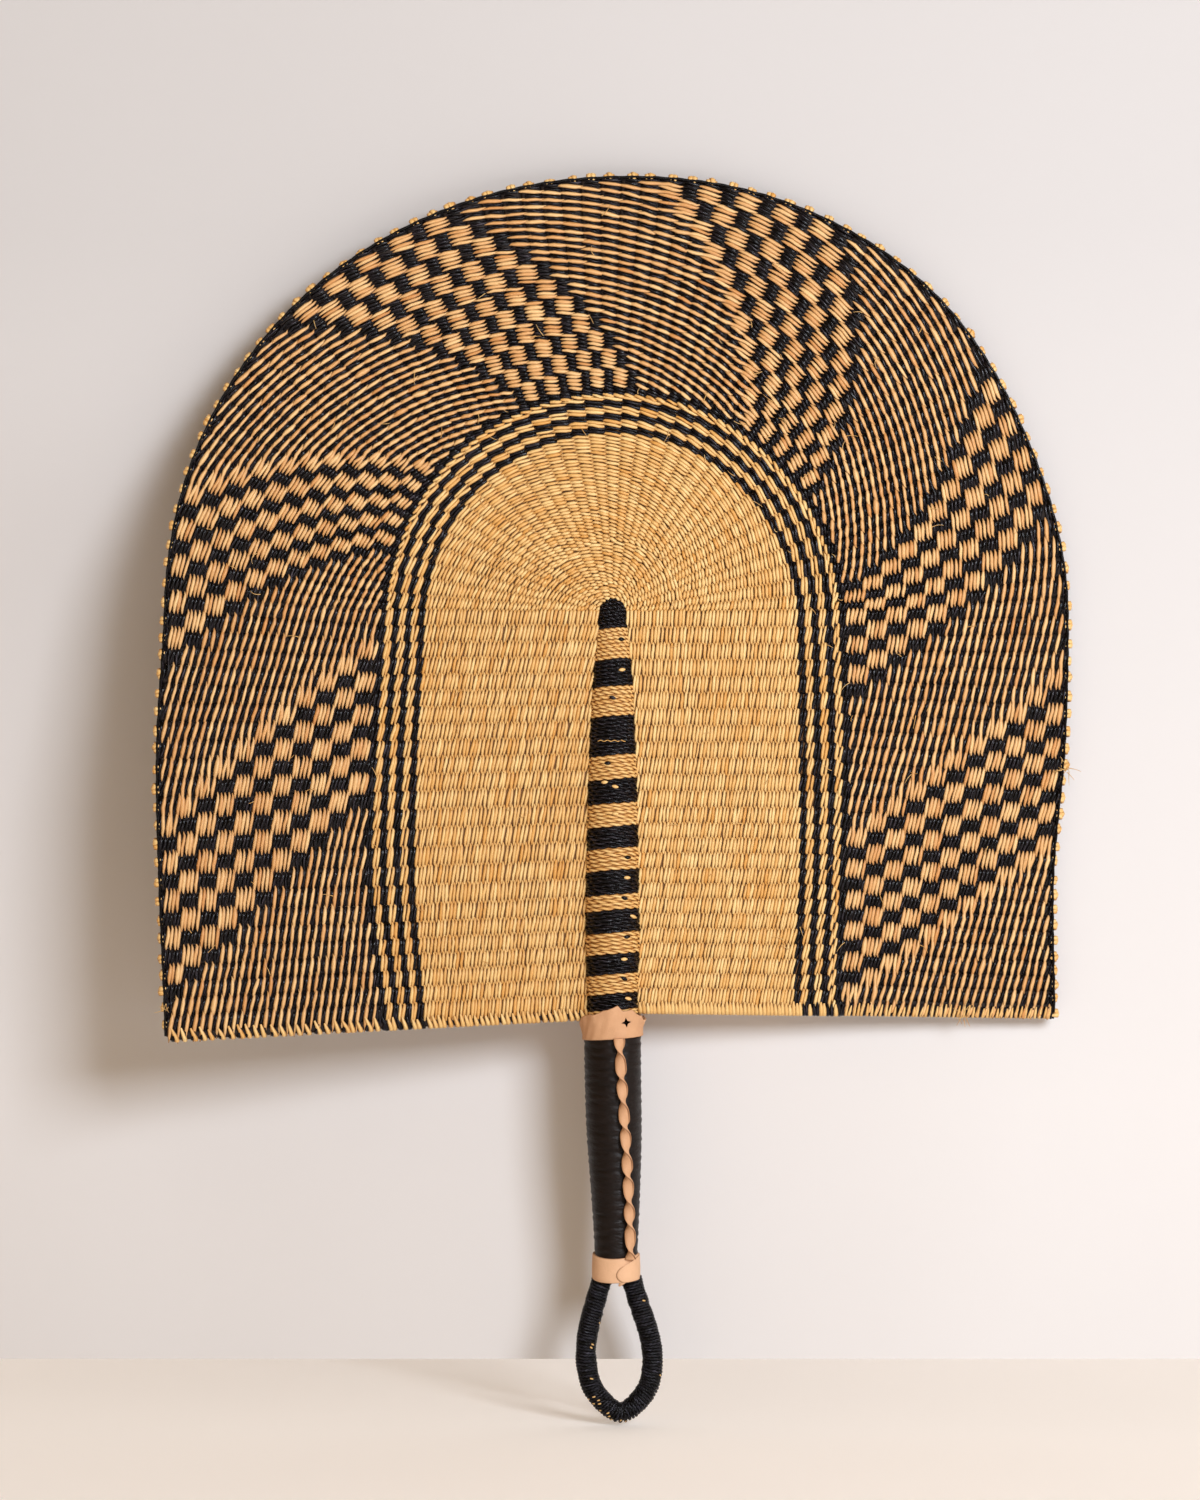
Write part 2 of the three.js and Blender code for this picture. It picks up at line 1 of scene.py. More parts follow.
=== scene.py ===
# A large hand fan twined from plain and black-dyed grass: ribs that fan out of a wrapped spine,
# rows of twined weft, a knotted rim, a laced leather grip and a hanging loop.
# Sizes are in millimetres, with +Z up the blade and the front facing -Y. Meshes are in metres.
import math

import bpy
import numpy as np
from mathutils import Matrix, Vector


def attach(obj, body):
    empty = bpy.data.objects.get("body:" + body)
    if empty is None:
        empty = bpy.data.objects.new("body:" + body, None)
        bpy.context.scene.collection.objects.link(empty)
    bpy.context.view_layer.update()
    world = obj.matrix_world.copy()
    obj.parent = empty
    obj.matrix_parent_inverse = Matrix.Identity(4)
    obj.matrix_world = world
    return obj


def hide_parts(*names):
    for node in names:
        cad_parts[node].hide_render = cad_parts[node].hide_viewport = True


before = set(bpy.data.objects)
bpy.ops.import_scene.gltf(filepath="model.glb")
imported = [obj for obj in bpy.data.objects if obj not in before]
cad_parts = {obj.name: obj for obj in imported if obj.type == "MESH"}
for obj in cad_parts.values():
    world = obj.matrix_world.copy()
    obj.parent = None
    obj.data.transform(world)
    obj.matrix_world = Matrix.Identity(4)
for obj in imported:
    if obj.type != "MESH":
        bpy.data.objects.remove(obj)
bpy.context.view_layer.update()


# Studio: a cream floor just under the loop, a pale curved wall close behind, a level camera in
# front, one large soft lamp high on the right, a weak one high on the left and a warm world.
MM = 0.001
VIEW_HEIGHT = 655.5
VIEW_CENTRE = (-5.5, 173.9)
CAMERA_AWAY = 1650.0
SENSOR = 24.0
FLOOR_LEVEL = -121.5
FLOOR_LINE = -92.2
FLOOR_BACK = 260.0
WALL_NEAR, WALL_HALF, WALL_TOP = 6.0, 900.0, 1000.0
WALL_COLUMNS, WALL_ROWS = 61, 41
# How far the wall stands off across it, and how much of that is left higher up.
WALL_GAP = [(-600, 150.0), (-196, 80.0), (0, 34.0), (100, 18.0), (160, 9.0), (205, 6.0),
            (600, -40.0)]
WALL_LEAN = [(-200, 1.0), (60, 1.0), (150, 0.9), (240, 0.7), (305, 0.4), (350, 0.28), (900, 0.2)]
STAGE_REACH = 6000.0
# Higher up the wall turns to a darker colour: painted shade, as if less light reached its top.
WALL_COLOUR, WALL_SHADED_TOP = (0.825, 0.79, 0.77, 1), (0.655, 0.63, 0.62, 1)
UPPER_FROM, UPPER_RISE = 20.0, 0.0026
FLOOR_COLOUR = (0.915, 0.865, 0.82, 1)
FLOOR_GLOW, GLOW_COLOUR = 0.22, (1, 0.92, 0.84, 1)
WORLD_LEVEL, WORLD_COLOUR = 0.29, (1, 0.64, 0.25, 1)


class Shade:
    """A value in a material. Sums, differences, products and quotients of it add Math nodes."""

    def __init__(self, tree, socket=None):
        self.tree = tree
        self.socket = socket

    def add(self, kind, settings, sockets, out=0):
        """Adds a node of that type: its settings first, then what its sockets hold or take."""
        node = self.tree.nodes.new(kind)
        for name, value in settings.items():
            setattr(node, name, value)
        for key, value in sockets.items():
            if isinstance(value, Shade):
                self.tree.links.new(value.socket, node.inputs[key])
            else:
                node.inputs[key].default_value = value
        return Shade(self.tree, node.outputs[out] if node.outputs else None)

    def maths(self, operation, first, second):
        return self.add("ShaderNodeMath", {"operation": operation}, {0: first, 1: second})

    def size(self):
        return self.maths("ABSOLUTE", self, 0.0)

    def clamp(self):
        settings = {"operation": "MULTIPLY", "use_clamp": True}
        return self.add("ShaderNodeMath", settings, {0: self, 1: 1.0})

    def __add__(self, other):
        return self.maths("ADD", self, other)

    def __mul__(self, other):
        return self.maths("MULTIPLY", self, other)

    def __sub__(self, other):
        return self.maths("SUBTRACT", self, other)

    def __rsub__(self, other):
        return self.maths("SUBTRACT", other, self)

    __radd__ = __add__
    __rmul__ = __mul__

    def mix(self, first, second):
        """A colour between two colours, by this value."""
        settings = {"data_type": "RGBA"}
        return self.add("ShaderNodeMix", settings, {0: self, 6: first, 7: second}, out=2)

    def scaled(self, x, y, z):
        settings = {"operation": "MULTIPLY"}
        return self.add("ShaderNodeVectorMath", settings, {0: self, 1: (x, y, z)})

    def noise(self, scale, detail):
        sockets = {"Vector": self, "Scale": scale, "Detail": detail}
        return self.add("ShaderNodeTexNoise", {}, sockets)

    def attribute(self, name, out=2):
        return self.add("ShaderNodeAttribute", {"attribute_name": name}, {}, out)

    def place(self):
        return self.add("ShaderNodeTexCoord", {}, {}, out=3)

    def bump(self, height, depth_mm):
        return self.add("ShaderNodeBump", {}, {"Height": height, "Distance": depth_mm * MM})

    def surface(self, **sockets):
        named = {name.replace("_", " "): value for name, value in sockets.items()}
        skin = self.add("ShaderNodeBsdfPrincipled", {}, named)
        self.add("ShaderNodeOutputMaterial", {}, {"Surface": skin})


def new_material(name):
    material = bpy.data.materials.new(name)
    material.use_nodes = True
    material.node_tree.nodes.clear()
    return material, Shade(material.node_tree)


def new_piece(name, corners, faces, material, smooth=True):
    """A mesh object from corners in millimetres."""
    mesh = bpy.data.meshes.new(name)
    mesh.from_pydata((np.asarray(corners, float) * MM).tolist(), [], faces)
    mesh.materials.append(material)
    mesh.polygons.foreach_set("use_smooth", [smooth] * len(mesh.polygons))
    mesh.update()
    piece = bpy.data.objects.new(name, mesh)
    bpy.context.scene.collection.objects.link(piece)
    return piece


def stage_piece(name, corners, faces, colour, upper, glow):
    """A plain surface, darker higher up by painted shade, that is clear when seen from behind."""
    material, shade = new_material(name)
    speckle = shade.place().noise(9.0, 4.0)
    height = shade.add("ShaderNodeSeparateXYZ", {}, {"Vector": shade.place()}, out=2)
    darker = tuple(0.97 * c for c in colour[:3]) + (1,)
    seen = shade.add("ShaderNodeLightPath", {}, {})
    skin = shade.add("ShaderNodeBsdfPrincipled", {}, {
        # Painted shade: above UPPER_FROM the colour turns towards the darker upper colour.
        "Base Color": ((height - UPPER_FROM * MM) * (UPPER_RISE / MM)).clamp().mix(
            speckle.mix(colour, darker), upper),
        "Roughness": 0.85, "Emission Strength": glow,
        "Emission Color": seen.mix((0, 0, 0, 1), GLOW_COLOUR)})
    behind = shade.add("ShaderNodeNewGeometry", {}, {}, out=6)
    clear = shade.add("ShaderNodeBsdfTransparent", {}, {})
    shown = shade.add("ShaderNodeMixShader", {}, {0: behind, 1: skin, 2: clear})
    shade.add("ShaderNodeOutputMaterial", {}, {"Surface": shown})
    stage = new_piece(name, corners, faces, material)
    return stage


def lamp(name, place, target, size, power, colour):
    light = bpy.data.lights.new(name, "AREA")
    light.size = size * MM
    light.energy = power
    light.color = colour
    holder = bpy.data.objects.new(name, light)
    holder.location = [c * MM for c in place]
    aim = Vector(place) - Vector(target)
    holder.rotation_euler = aim.to_track_quat("Z", "Y").to_euler()
    bpy.context.scene.collection.objects.link(holder)


# The blade's right edge and top lie close to the wall, and its left edge stands off it. The wall's
# foot is where the camera sees the floor end. It stops no light, so that it doesn't dim the fan.
across = np.linspace(-WALL_HALF, WALL_HALF, WALL_COLUMNS)
gap = np.interp(across, *zip(*WALL_GAP))
foot = VIEW_CENTRE[1] + (FLOOR_LINE - VIEW_CENTRE[1]) * (CAMERA_AWAY + gap) / CAMERA_AWAY
wall_corners = []
for share in np.linspace(0, 1, WALL_ROWS):
    z = foot + (WALL_TOP - foot) * share
    y = WALL_NEAR + (gap - WALL_NEAR) * np.interp(z, *zip(*WALL_LEAN))
    wall_corners.append(np.stack([across, y, z], -1))
wall_faces = [(k, k + 1, k + WALL_COLUMNS + 1, k + WALL_COLUMNS)
              for k in range(WALL_COLUMNS * (WALL_ROWS - 1)) if (k + 1) % WALL_COLUMNS]
wall = stage_piece("wall", np.concatenate(wall_corners), wall_faces, WALL_COLOUR, WALL_SHADED_TOP, 0.0)
wall.visible_shadow = wall.visible_diffuse = False
stage_piece("far_wall", [
    (-STAGE_REACH, FLOOR_BACK, FLOOR_LEVEL), (STAGE_REACH, FLOOR_BACK, FLOOR_LEVEL),
    (STAGE_REACH, FLOOR_BACK, STAGE_REACH), (-STAGE_REACH, FLOOR_BACK, STAGE_REACH),
], [(0, 1, 2, 3)], WALL_COLOUR, WALL_SHADED_TOP, 0.0)
stage_piece("floor", [
    (-STAGE_REACH, -STAGE_REACH, FLOOR_LEVEL), (STAGE_REACH, -STAGE_REACH, FLOOR_LEVEL),
    (STAGE_REACH, FLOOR_BACK, FLOOR_LEVEL), (-STAGE_REACH, FLOOR_BACK, FLOOR_LEVEL),
], [(0, 1, 2, 3)], FLOOR_COLOUR, FLOOR_COLOUR, FLOOR_GLOW)

world = bpy.data.worlds.new("studio")
world.use_nodes = True
sky = world.node_tree.nodes["Background"].inputs
sky["Color"].default_value, sky["Strength"].default_value = WORLD_COLOUR, WORLD_LEVEL
bpy.context.scene.world = world
lamp("key", place=(1000, -2000, 800), target=(-1500, 0, -2500), size=800, power=55.0,
     colour=(0.93, 1, 1.10))
lamp("fill", place=(-600, -2400, 1100), target=(0, 0, 0), size=3000, power=1.5,
     colour=(1, 0.95, 0.9))

lens = bpy.data.cameras.new("camera")
lens.sensor_fit = "VERTICAL"
lens.sensor_height = SENSOR
lens.lens = SENSOR * CAMERA_AWAY / VIEW_HEIGHT
camera = bpy.data.objects.new("camera", lens)
camera.location = (VIEW_CENTRE[0] * MM, -CAMERA_AWAY * MM, VIEW_CENTRE[1] * MM)
camera.rotation_euler = (math.pi / 2, 0, 0)
bpy.context.scene.collection.objects.link(camera)
bpy.context.scene.camera = camera
bpy.context.scene.view_settings.view_transform = "Standard"


# Stalks: the long dry grass stalks of the bundle inside the spine and grip, and the cord inside
# the hanging loop. They are bound in by everything that follows, and keep the model's own shape.
stalk_finish, shade = new_material("dry_stalks")
lines = shade.place().scaled(900, 900, 14).noise(1.0, 3.0)
shade.surface(
    Base_Color=lines.mix((0.42, 0.25, 0.09, 1), (0.70, 0.48, 0.20, 1)), Roughness=0.6,
    Normal=shade.bump(lines, 0.2))
for name in ("stalk_bundle", "loop_core"):
    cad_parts[name].data.materials.clear()
    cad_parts[name].data.materials.append(stalk_finish)


# Ribs: flattened bundles of the same stalks. They leave the spine, lie level on the two straight
# sides and fan out over the top. The weft is twined round them and hides them but for its gaps.
SIDE = 24.0
TOP = 76.0
ROUND = 2 * SIDE + TOP
FAN_HEIGHT = 234.2
HEM_LEFT, HEM_LEFT_DROP = 56.5, 10.2
HEM_RIGHT, HEM_RIGHT_DROP = 59.0, 2.5
HEM_HEIGHT = 5.1
BOW_LEFT, BOW_RIGHT, BOW_REACH = 6.0, 3.0, 200.0
RIM = [195.6, 198.0, 199.2, 195.8, 195.2, 193.2, 191.0, 190.8, 195.0, 198.3, 196.7, 199.2,
       198.0, 193.0, 193.4]
RIB_THICK = 0.85
RIB_WIDE = 3.2
RIB_START, RIB_START_FANNED = 7.0, 5.0
FRONT = np.array([0.0, -1.0, 0.0])
FIRST_FANNED, LAST_FANNED = 24, 93
PAIRS = 35
PAIRS_PART = 97.0

# Places of the ribs round the blade, at the rings and at the rim, as a count of even steps: 24 up
# the left side, 76 over the top and 24 down the right.
RIB_COUNT = 119
RIB_AT_RINGS = (
    (0, 0.4), (6, 6.15), (12, 12.9), (17, 17.9), (21, 21.75), (31, 31.5), (39, 39.75),
    (51, 53.25), (59, 62.75), (71, 77.0), (79, 85.6), (91, 98.5), (97, 103.75), (107, 113.75),
    (117, 123.25), (118, 124.2))
RIB_AT_RIM = (
    (0, 0.4), (4, 4.2), (10, 10.7), (20, 21.5), (30, 31.7), (40, 41.7), (50, 52.8), (60, 64.2),
    (70, 75.2), (80, 86.2), (90, 96.5), (100, 107.3), (110, 117.2), (118, 124.4))
RINGS_REACH = 104.0
RIM_REACH = 196.0

chance = np.random.default_rng(11)


def along(stations, share):
    """Smooth value along evenly spaced stations, as the model's own outline runs."""
    line = np.asarray(stations, float)
    place = np.clip(share, 0, 1) * (len(line) - 1)
    k = np.minimum(np.floor(place).astype(int), len(line) - 2)
    t = place - k
    before, here = line[np.maximum(k - 1, 0)], line[k]
    there, after = line[k + 1], line[np.minimum(k + 2, len(line) - 1)]
    leave, arrive = (there - before) / 2, (after - here) / 2
    cubic = 2 * here - 2 * there + leave + arrive
    square = 3 * there - 3 * here - 2 * leave - arrive
    return ((cubic * t + square) * t + leave) * t + here


def reach_at(u, stations):
    place = np.where(u < SIDE, u / 8, np.where(u > SIDE + TOP, 11 + (u - SIDE - TOP) / 8,
                                               3 + (u - SIDE) * 8 / TOP))
    return along(stations, place / 14)


def bow(x):
    return -np.where(x < 0, BOW_LEFT, BOW_RIGHT) * (x / BOW_REACH) ** 2


def hem_foot(x):
    share = np.abs(x) / BOW_REACH
    return np.where(x < 0, HEM_LEFT - HEM_LEFT_DROP * share, HEM_RIGHT - HEM_RIGHT_DROP * share)


def outward(u):
    turn = np.pi * (np.clip(u, SIDE, SIDE + TOP) - SIDE) / TOP
    return np.stack([-np.cos(turn), np.zeros_like(turn), np.sin(turn)], -1)


def blade(u, v, front):
    """A point of the blade: u round it, v out from its middle, front towards the viewer."""
    out = outward(u)
    x = v * out[..., 0]
    foot = hem_foot(x) + HEM_HEIGHT
    share = np.where(u < SIDE, u / SIDE, np.where(u > SIDE + TOP, (ROUND - u) / SIDE, 1.0))
    return np.stack([x, bow(x) - front, foot + (FAN_HEIGHT - foot) * share + v * out[..., 2]], -1)


def rib_places(v):
    """Place round the blade of every rib, for each reach in v."""
    ribs = np.arange(RIB_COUNT)
    near = np.interp(ribs, *zip(*RIB_AT_RINGS))
    far = np.interp(ribs, *zip(*RIB_AT_RIM))
    share = np.clip((np.asarray(v, float) - RINGS_REACH) / (RIM_REACH - RINGS_REACH), 0, 1)
    return near + (far - near) * share[..., None]


def strand_tree():
    """Nodes that turn lines into closed oval strands, wide and thick as their points say."""
    tree = bpy.data.node_groups.new("strands", "GeometryNodeTree")
    socket = tree.interface.new_socket
    socket("Lines", in_out="INPUT", socket_type="NodeSocketGeometry")
    socket("Half width", in_out="INPUT", socket_type="NodeSocketFloat")
    socket("Half thickness", in_out="INPUT", socket_type="NodeSocketFloat")
    socket("Corners", in_out="INPUT", socket_type="NodeSocketInt")
    socket("Finish", in_out="INPUT", socket_type="NodeSocketMaterial")
    socket("Strands", in_out="OUTPUT", socket_type="NodeSocketGeometry")

    def node(kind, settings=(), **links):
        made = tree.nodes.new(kind)
        for name, value in dict(settings).items():
            setattr(made, name, value)
        for name, value in links.items():
            target = made.inputs[name.replace("_", " ")]
            if isinstance(value, bpy.types.NodeSocket):
                tree.links.new(value, target)
            else:
                target.default_value = value
        return made

    given = node("NodeGroupInput").outputs
    face = node("GeometryNodeInputNamedAttribute", {"data_type": "FLOAT_VECTOR"}, Name="face")
    girth = node("GeometryNodeInputNamedAttribute", {"data_type": "FLOAT"}, Name="girth")
    line = node("GeometryNodeMeshToCurve", Mesh=given["Lines"])
    turned = node("GeometryNodeSetCurveNormal", {"mode": "FREE"}, Curve=line.outputs[0],
                  Normal=face.outputs[0])
    ring = node("GeometryNodeCurvePrimitiveCircle", Resolution=given["Corners"], Radius=1.0)
    marked = node("GeometryNodeStoreNamedAttribute", {"data_type": "FLOAT_VECTOR"},
                  Geometry=ring.outputs[0], Name="round",
                  Value=node("GeometryNodeInputPosition").outputs[0])
    size = node("ShaderNodeCombineXYZ", X=given["Half thickness"], Y=given["Half width"], Z=1.0)
    oval = node("GeometryNodeTransform", Geometry=marked.outputs[0], Scale=size.outputs[0])
    tube = node("GeometryNodeCurveToMesh", Curve=turned.outputs[0],
                Profile_Curve=oval.outputs[0], Scale=girth.outputs[0], Fill_Caps=True)
    smooth = node("GeometryNodeSetShadeSmooth", Geometry=tube.outputs[0])
    real = node("GeometryNodeRealizeInstances", Geometry=smooth.outputs[0])
    done = node("GeometryNodeSetMaterial", Geometry=real.outputs[0], Material=given["Finish"])
    tree.links.new(done.outputs[0], node("NodeGroupOutput").inputs[0])
    return tree


STRANDS = strand_tree()


def fasten(piece, nodes):
    """Makes a finished piece part of the fan, in place of the model's nodes that it shows."""
    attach(piece, "root")
    if nodes:
        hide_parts(*nodes)
    return piece


def make_strands(name, lines, half_width, half_thick, corners, material, slot, nodes=()):
    """Makes one piece of many strands, each a dict of its points and what they carry."""
    points = np.concatenate([s["points"] for s in lines])
    lengths = [len(s["points"]) for s in lines]
    starts = np.concatenate([[0], np.cumsum(lengths)[:-1]])
    edges = np.concatenate([np.arange(a, a + n - 1) for a, n in zip(starts, lengths)])
    mesh = bpy.data.meshes.new(name)
    mesh.vertices.add(len(points))
    mesh.vertices.foreach_set("co", (points * MM).astype(np.float32).ravel())
    mesh.edges.add(len(edges))
    mesh.edges.foreach_set("vertices", np.stack([edges, edges + 1], -1).astype(np.int32).ravel())
    face = mesh.attributes.new("face", "FLOAT_VECTOR", "POINT")
    face.data.foreach_set("vector", np.concatenate(
        [s["face"] for s in lines]).astype(np.float32).ravel())
    for key, standard in (("girth", 1.0), ("tone", 0.5), ("lift", 1.0), ("run", 0.0)):
        values = [np.broadcast_to(s.get(key, standard), n) for s, n in zip(lines, lengths)]
        layer = mesh.attributes.new(key, "FLOAT", "POINT")
        layer.data.foreach_set("value", np.concatenate(values).astype(np.float32))
    holder = bpy.data.objects.new(name + "_lines", mesh)
    bpy.context.scene.collection.objects.link(holder)
    modifier = holder.modifiers.new("strands", "NODES")
    modifier.node_group = STRANDS
    sizes = {"Half width": half_width * MM, "Half thickness": half_thick * MM,
             "Corners": corners, "Finish": material}
    for item in STRANDS.interface.items_tree:
        if item.name in sizes:
            modifier[item.identifier] = sizes[item.name]
    graph = bpy.context.evaluated_depsgraph_get()
    made = bpy.data.meshes.new_from_object(
        holder.evaluated_get(graph), preserve_all_data_layers=True, depsgraph=graph)
    bpy.data.objects.remove(holder)
    for layer in ("face", "girth"):
        made.attributes.remove(made.attributes[layer])
    made.name = name
    piece = bpy.data.objects.new(name, made)
    bpy.context.scene.collection.objects.link(piece)
    return fasten(piece, nodes)


def directed(points, facing):
    """Facing made square to the line through the points."""
    tangent = np.gradient(points, axis=-2)
    tangent /= np.linalg.norm(tangent, axis=-1, keepdims=True)
    square = facing - (facing * tangent).sum(-1, keepdims=True) * tangent
    return square / np.linalg.norm(square, axis=-1, keepdims=True)


def run_of(points):
    step = np.linalg.norm(np.diff(points, axis=0), axis=1)
    return np.concatenate([[0], np.cumsum(step)])


def strand(points, facing, run=0.0, **carried):
    """One strand through the points, with its flat side facing so, and what else it carries."""
    return dict(carried, points=points, face=directed(points, facing), run=run_of(points) + run)


def inner_ribs(groups):
    """Places of the ribs inside the rings, with the top's in that many groups."""
    sides = rib_places(np.array(0.0))
    steps = (np.arange(groups) + 0.5) / groups
    right = ROUND - 0.4 - np.interp(np.arange(25)[::-1], (0, 12, 24), (0, 11.1, 23.2))
    return np.concatenate([sides[:FIRST_FANNED], SIDE + steps * TOP, right])


def rib_line(rib):
    """Place, reach and spread of one rib from the spine out. The top's start in pairs."""
    fanned = FIRST_FANNED <= rib <= LAST_FANNED
    start = RIB_START_FANNED if fanned else RIB_START
    v = np.linspace(start, float(reach_at(rib_places(150.0)[rib], RIM)) - 1.5, 30)
    places = rib_places(v)
    far = places[:, rib]
    room = np.gradient(places, axis=1)[:, rib] * (math.pi * v / TOP if fanned else
                                                  (FAN_HEIGHT - HEM_LEFT) / SIDE)
    apart = np.clip((v - PAIRS_PART) / 6.0, 0, 1)
    near = far
    if fanned:
        within = (rib - FIRST_FANNED) % 2 * 2 - 1
        pair = (rib - FIRST_FANNED) // 2
        near = np.full_like(v, SIDE + (pair + 0.5 + 0.2 * within) / PAIRS * TOP)
    elif rib > LAST_FANNED:
        near = np.full_like(v, inner_ribs(PAIRS)[rib - PAIRS])
    share = 0.40 + 0.11 * apart if fanned else 0.51
    if rib == RIB_COUNT - 1:
        near, far, share = near - 0.2, far - 0.2, 0.45
    return near + (far - near) * apart, v, share * room


rib_lines = []
for rib in range(RIB_COUNT):
    u, v, spread = rib_line(rib)
    rib_lines.append(strand(
        blade(u, v, np.zeros_like(v)), FRONT, chance.uniform(0, 900), girth=spread / RIB_WIDE,
        tone=np.clip((v - 84) / 6, 0, 1)))
# Painted shade: ribs are dark brown up to 84 mm out and near black beyond 90 mm, tone the mask.
rib_finish, shade = new_material("shaded_stalks")
lines = shade.attribute("round", out=1).scaled(4, 4, 0).noise(1.0, 3.0)
shade.surface(
    Base_Color=shade.attribute("tone").mix(
        lines.mix((0.10, 0.040, 0.012, 1), (0.22, 0.100, 0.028, 1)),
        lines.mix((0.003, 0.001, 0.0008, 1), (0.020, 0.008, 0.003, 1))), Roughness=0.8,
    Normal=shade.bump(lines, 0.2))
make_strands("ribs", rib_lines, RIB_WIDE, RIB_THICK, 8, rib_finish, "stalks")


# Natural field: rows of plain grass twined round the ribs, two strands to a row that pass each
# other between every two ribs. Over the top the ribs lie in pairs here, and near the spine's tip
# in thicker groups.
NATURAL_ROWS = 46
RINGS_INSIDE = [82.5, 86.4, 85.2, 82.0, 80.2, 79.6, 78.7, 78.3, 78.3, 78.3, 78.8, 80.8,
                81.7, 81.6, 79.1]
RINGS_OUTSIDE = [101.6, 107.7, 105.9, 101.6, 100.3, 99.6, 98.7, 98.2, 98.9, 99.3, 100.5, 102.0,
                 103.5, 102.1, 100.1]
BUNDLE_HALF = [6.1, 8.6, 10.1, 10.95, 11.5, 11.85, 11.0, 10.85, 10.6, 9.3, 8.1]
BUNDLE_FOOT = -50.0
RING_ROWS = 14
PATTERN_ROWS = 54
ROWS = NATURAL_ROWS + RING_ROWS + PATTERN_ROWS + 1
RIM_STRAND = 1.1
LIFT = 1.3


def grass_fibre(shade):
    """Streaks that run along a strand, and how far its surface faces out of the weave."""
    ring = shade.attribute("round", out=1)
    along_it = shade.add("ShaderNodeCombineXYZ", {}, {"Z": shade.attribute("run") * 0.2})
    spot = shade.add("ShaderNodeVectorMath", {"operation": "ADD"},
                     {0: ring.scaled(3.4, 3.4, 0), 1: along_it})
    facing = shade.add("ShaderNodeSeparateXYZ", {}, {"Vector": ring}).size()
    return spot.noise(1.0, 3.0), ((facing - 0.46) * 2.9).clamp()


# Plain grass whose shadow colour is painted shade, on strand sides and where strands dip under.
def straw_material(name, pale, deep, shadow, edge):
    material, shade = new_material(name)
    fibre, facing = grass_fibre(shade)
    lift = shade.attribute("lift")
    body = (shade.attribute("tone") + (fibre - 0.5) * 1.2).clamp().mix(deep, pale)
    # Painted shade: the share of shadow colour, from the strand's sides and from where it dips
    # under.
    painted_shade = (1.0 - facing) * (edge - lift) + (1.0 - lift) * 0.55
    shade.surface(
        Base_Color=painted_shade.clamp().mix(body, shadow), Roughness=0.32 + fibre * 0.25,
        Specular_IOR_Level=0.45, Normal=shade.bump(fibre, 0.16))
    return material


straw_finish = straw_material(
    "plain_grass", (0.96, 0.67, 0.28, 1), (0.78, 0.38, 0.085, 1), (0.34, 0.105, 0.012, 1), 1.65)


def spine_reach(u):
    height = blade(u, np.full_like(u, BUNDLE_HALF[0]), 0.0)[..., 2]
    share = (FAN_HEIGHT - height) / (FAN_HEIGHT - BUNDLE_FOOT)
    return along(BUNDLE_HALF, share) - 0.2


def row_reach(u, row):
    """Distance out of a row's middle; rows are counted out from the spine."""
    inside, outside = reach_at(u, RINGS_INSIDE), reach_at(u, RINGS_OUTSIDE)
    edge = reach_at(u, RIM) - RIM_STRAND
    spine = spine_reach(u)
    rings_end = NATURAL_ROWS + RING_ROWS
    middle = row + 0.5
    natural = spine + (inside - spine) * middle / NATURAL_ROWS
    rings = inside + (outside - inside) * (middle - NATURAL_ROWS) / RING_ROWS
    pattern = outside + (edge - outside) * (middle - rings_end) / (ROWS - rings_end)
    return np.where(row < NATURAL_ROWS, natural, np.where(row < rings_end, rings, pattern))


def drift(shape, every, size):
    """Slow random wander along the last axis."""
    knots = chance.normal(0, size, (shape[0], shape[1] // every + 3))
    place = np.arange(shape[1]) / every
    return np.array([np.interp(place, np.arange(knots.shape[1]), line) for line in knots])


# Places within a stitch, as shares of the way to the next one, how far out of its row it swings
# there, and how much less it has swung where it goes under.
STITCH = (-0.62, -0.25, 0.25, 0.62)
SWING = (0.62, 0.20, 0.55, 0.95)
HOOK = 0.45
# Where a strand stays on one side between two ribs it lies this much lower and narrower.
STAYING, NARROWED = 0.75, 0.85
# How unevenly the hand twines: the crossings' places and swing, the stitches' width and tone, and
# the rows' wander and tone.
UNEVEN_CROSSING, UNEVEN_SWING, UNEVEN_WIDTH, UNEVEN_TONE = 0.035, 0.21, 0.09, 0.20
UNEVEN_ROW, ROW_WANDER, ROW_TONE = 0.06, 0.13, 0.07


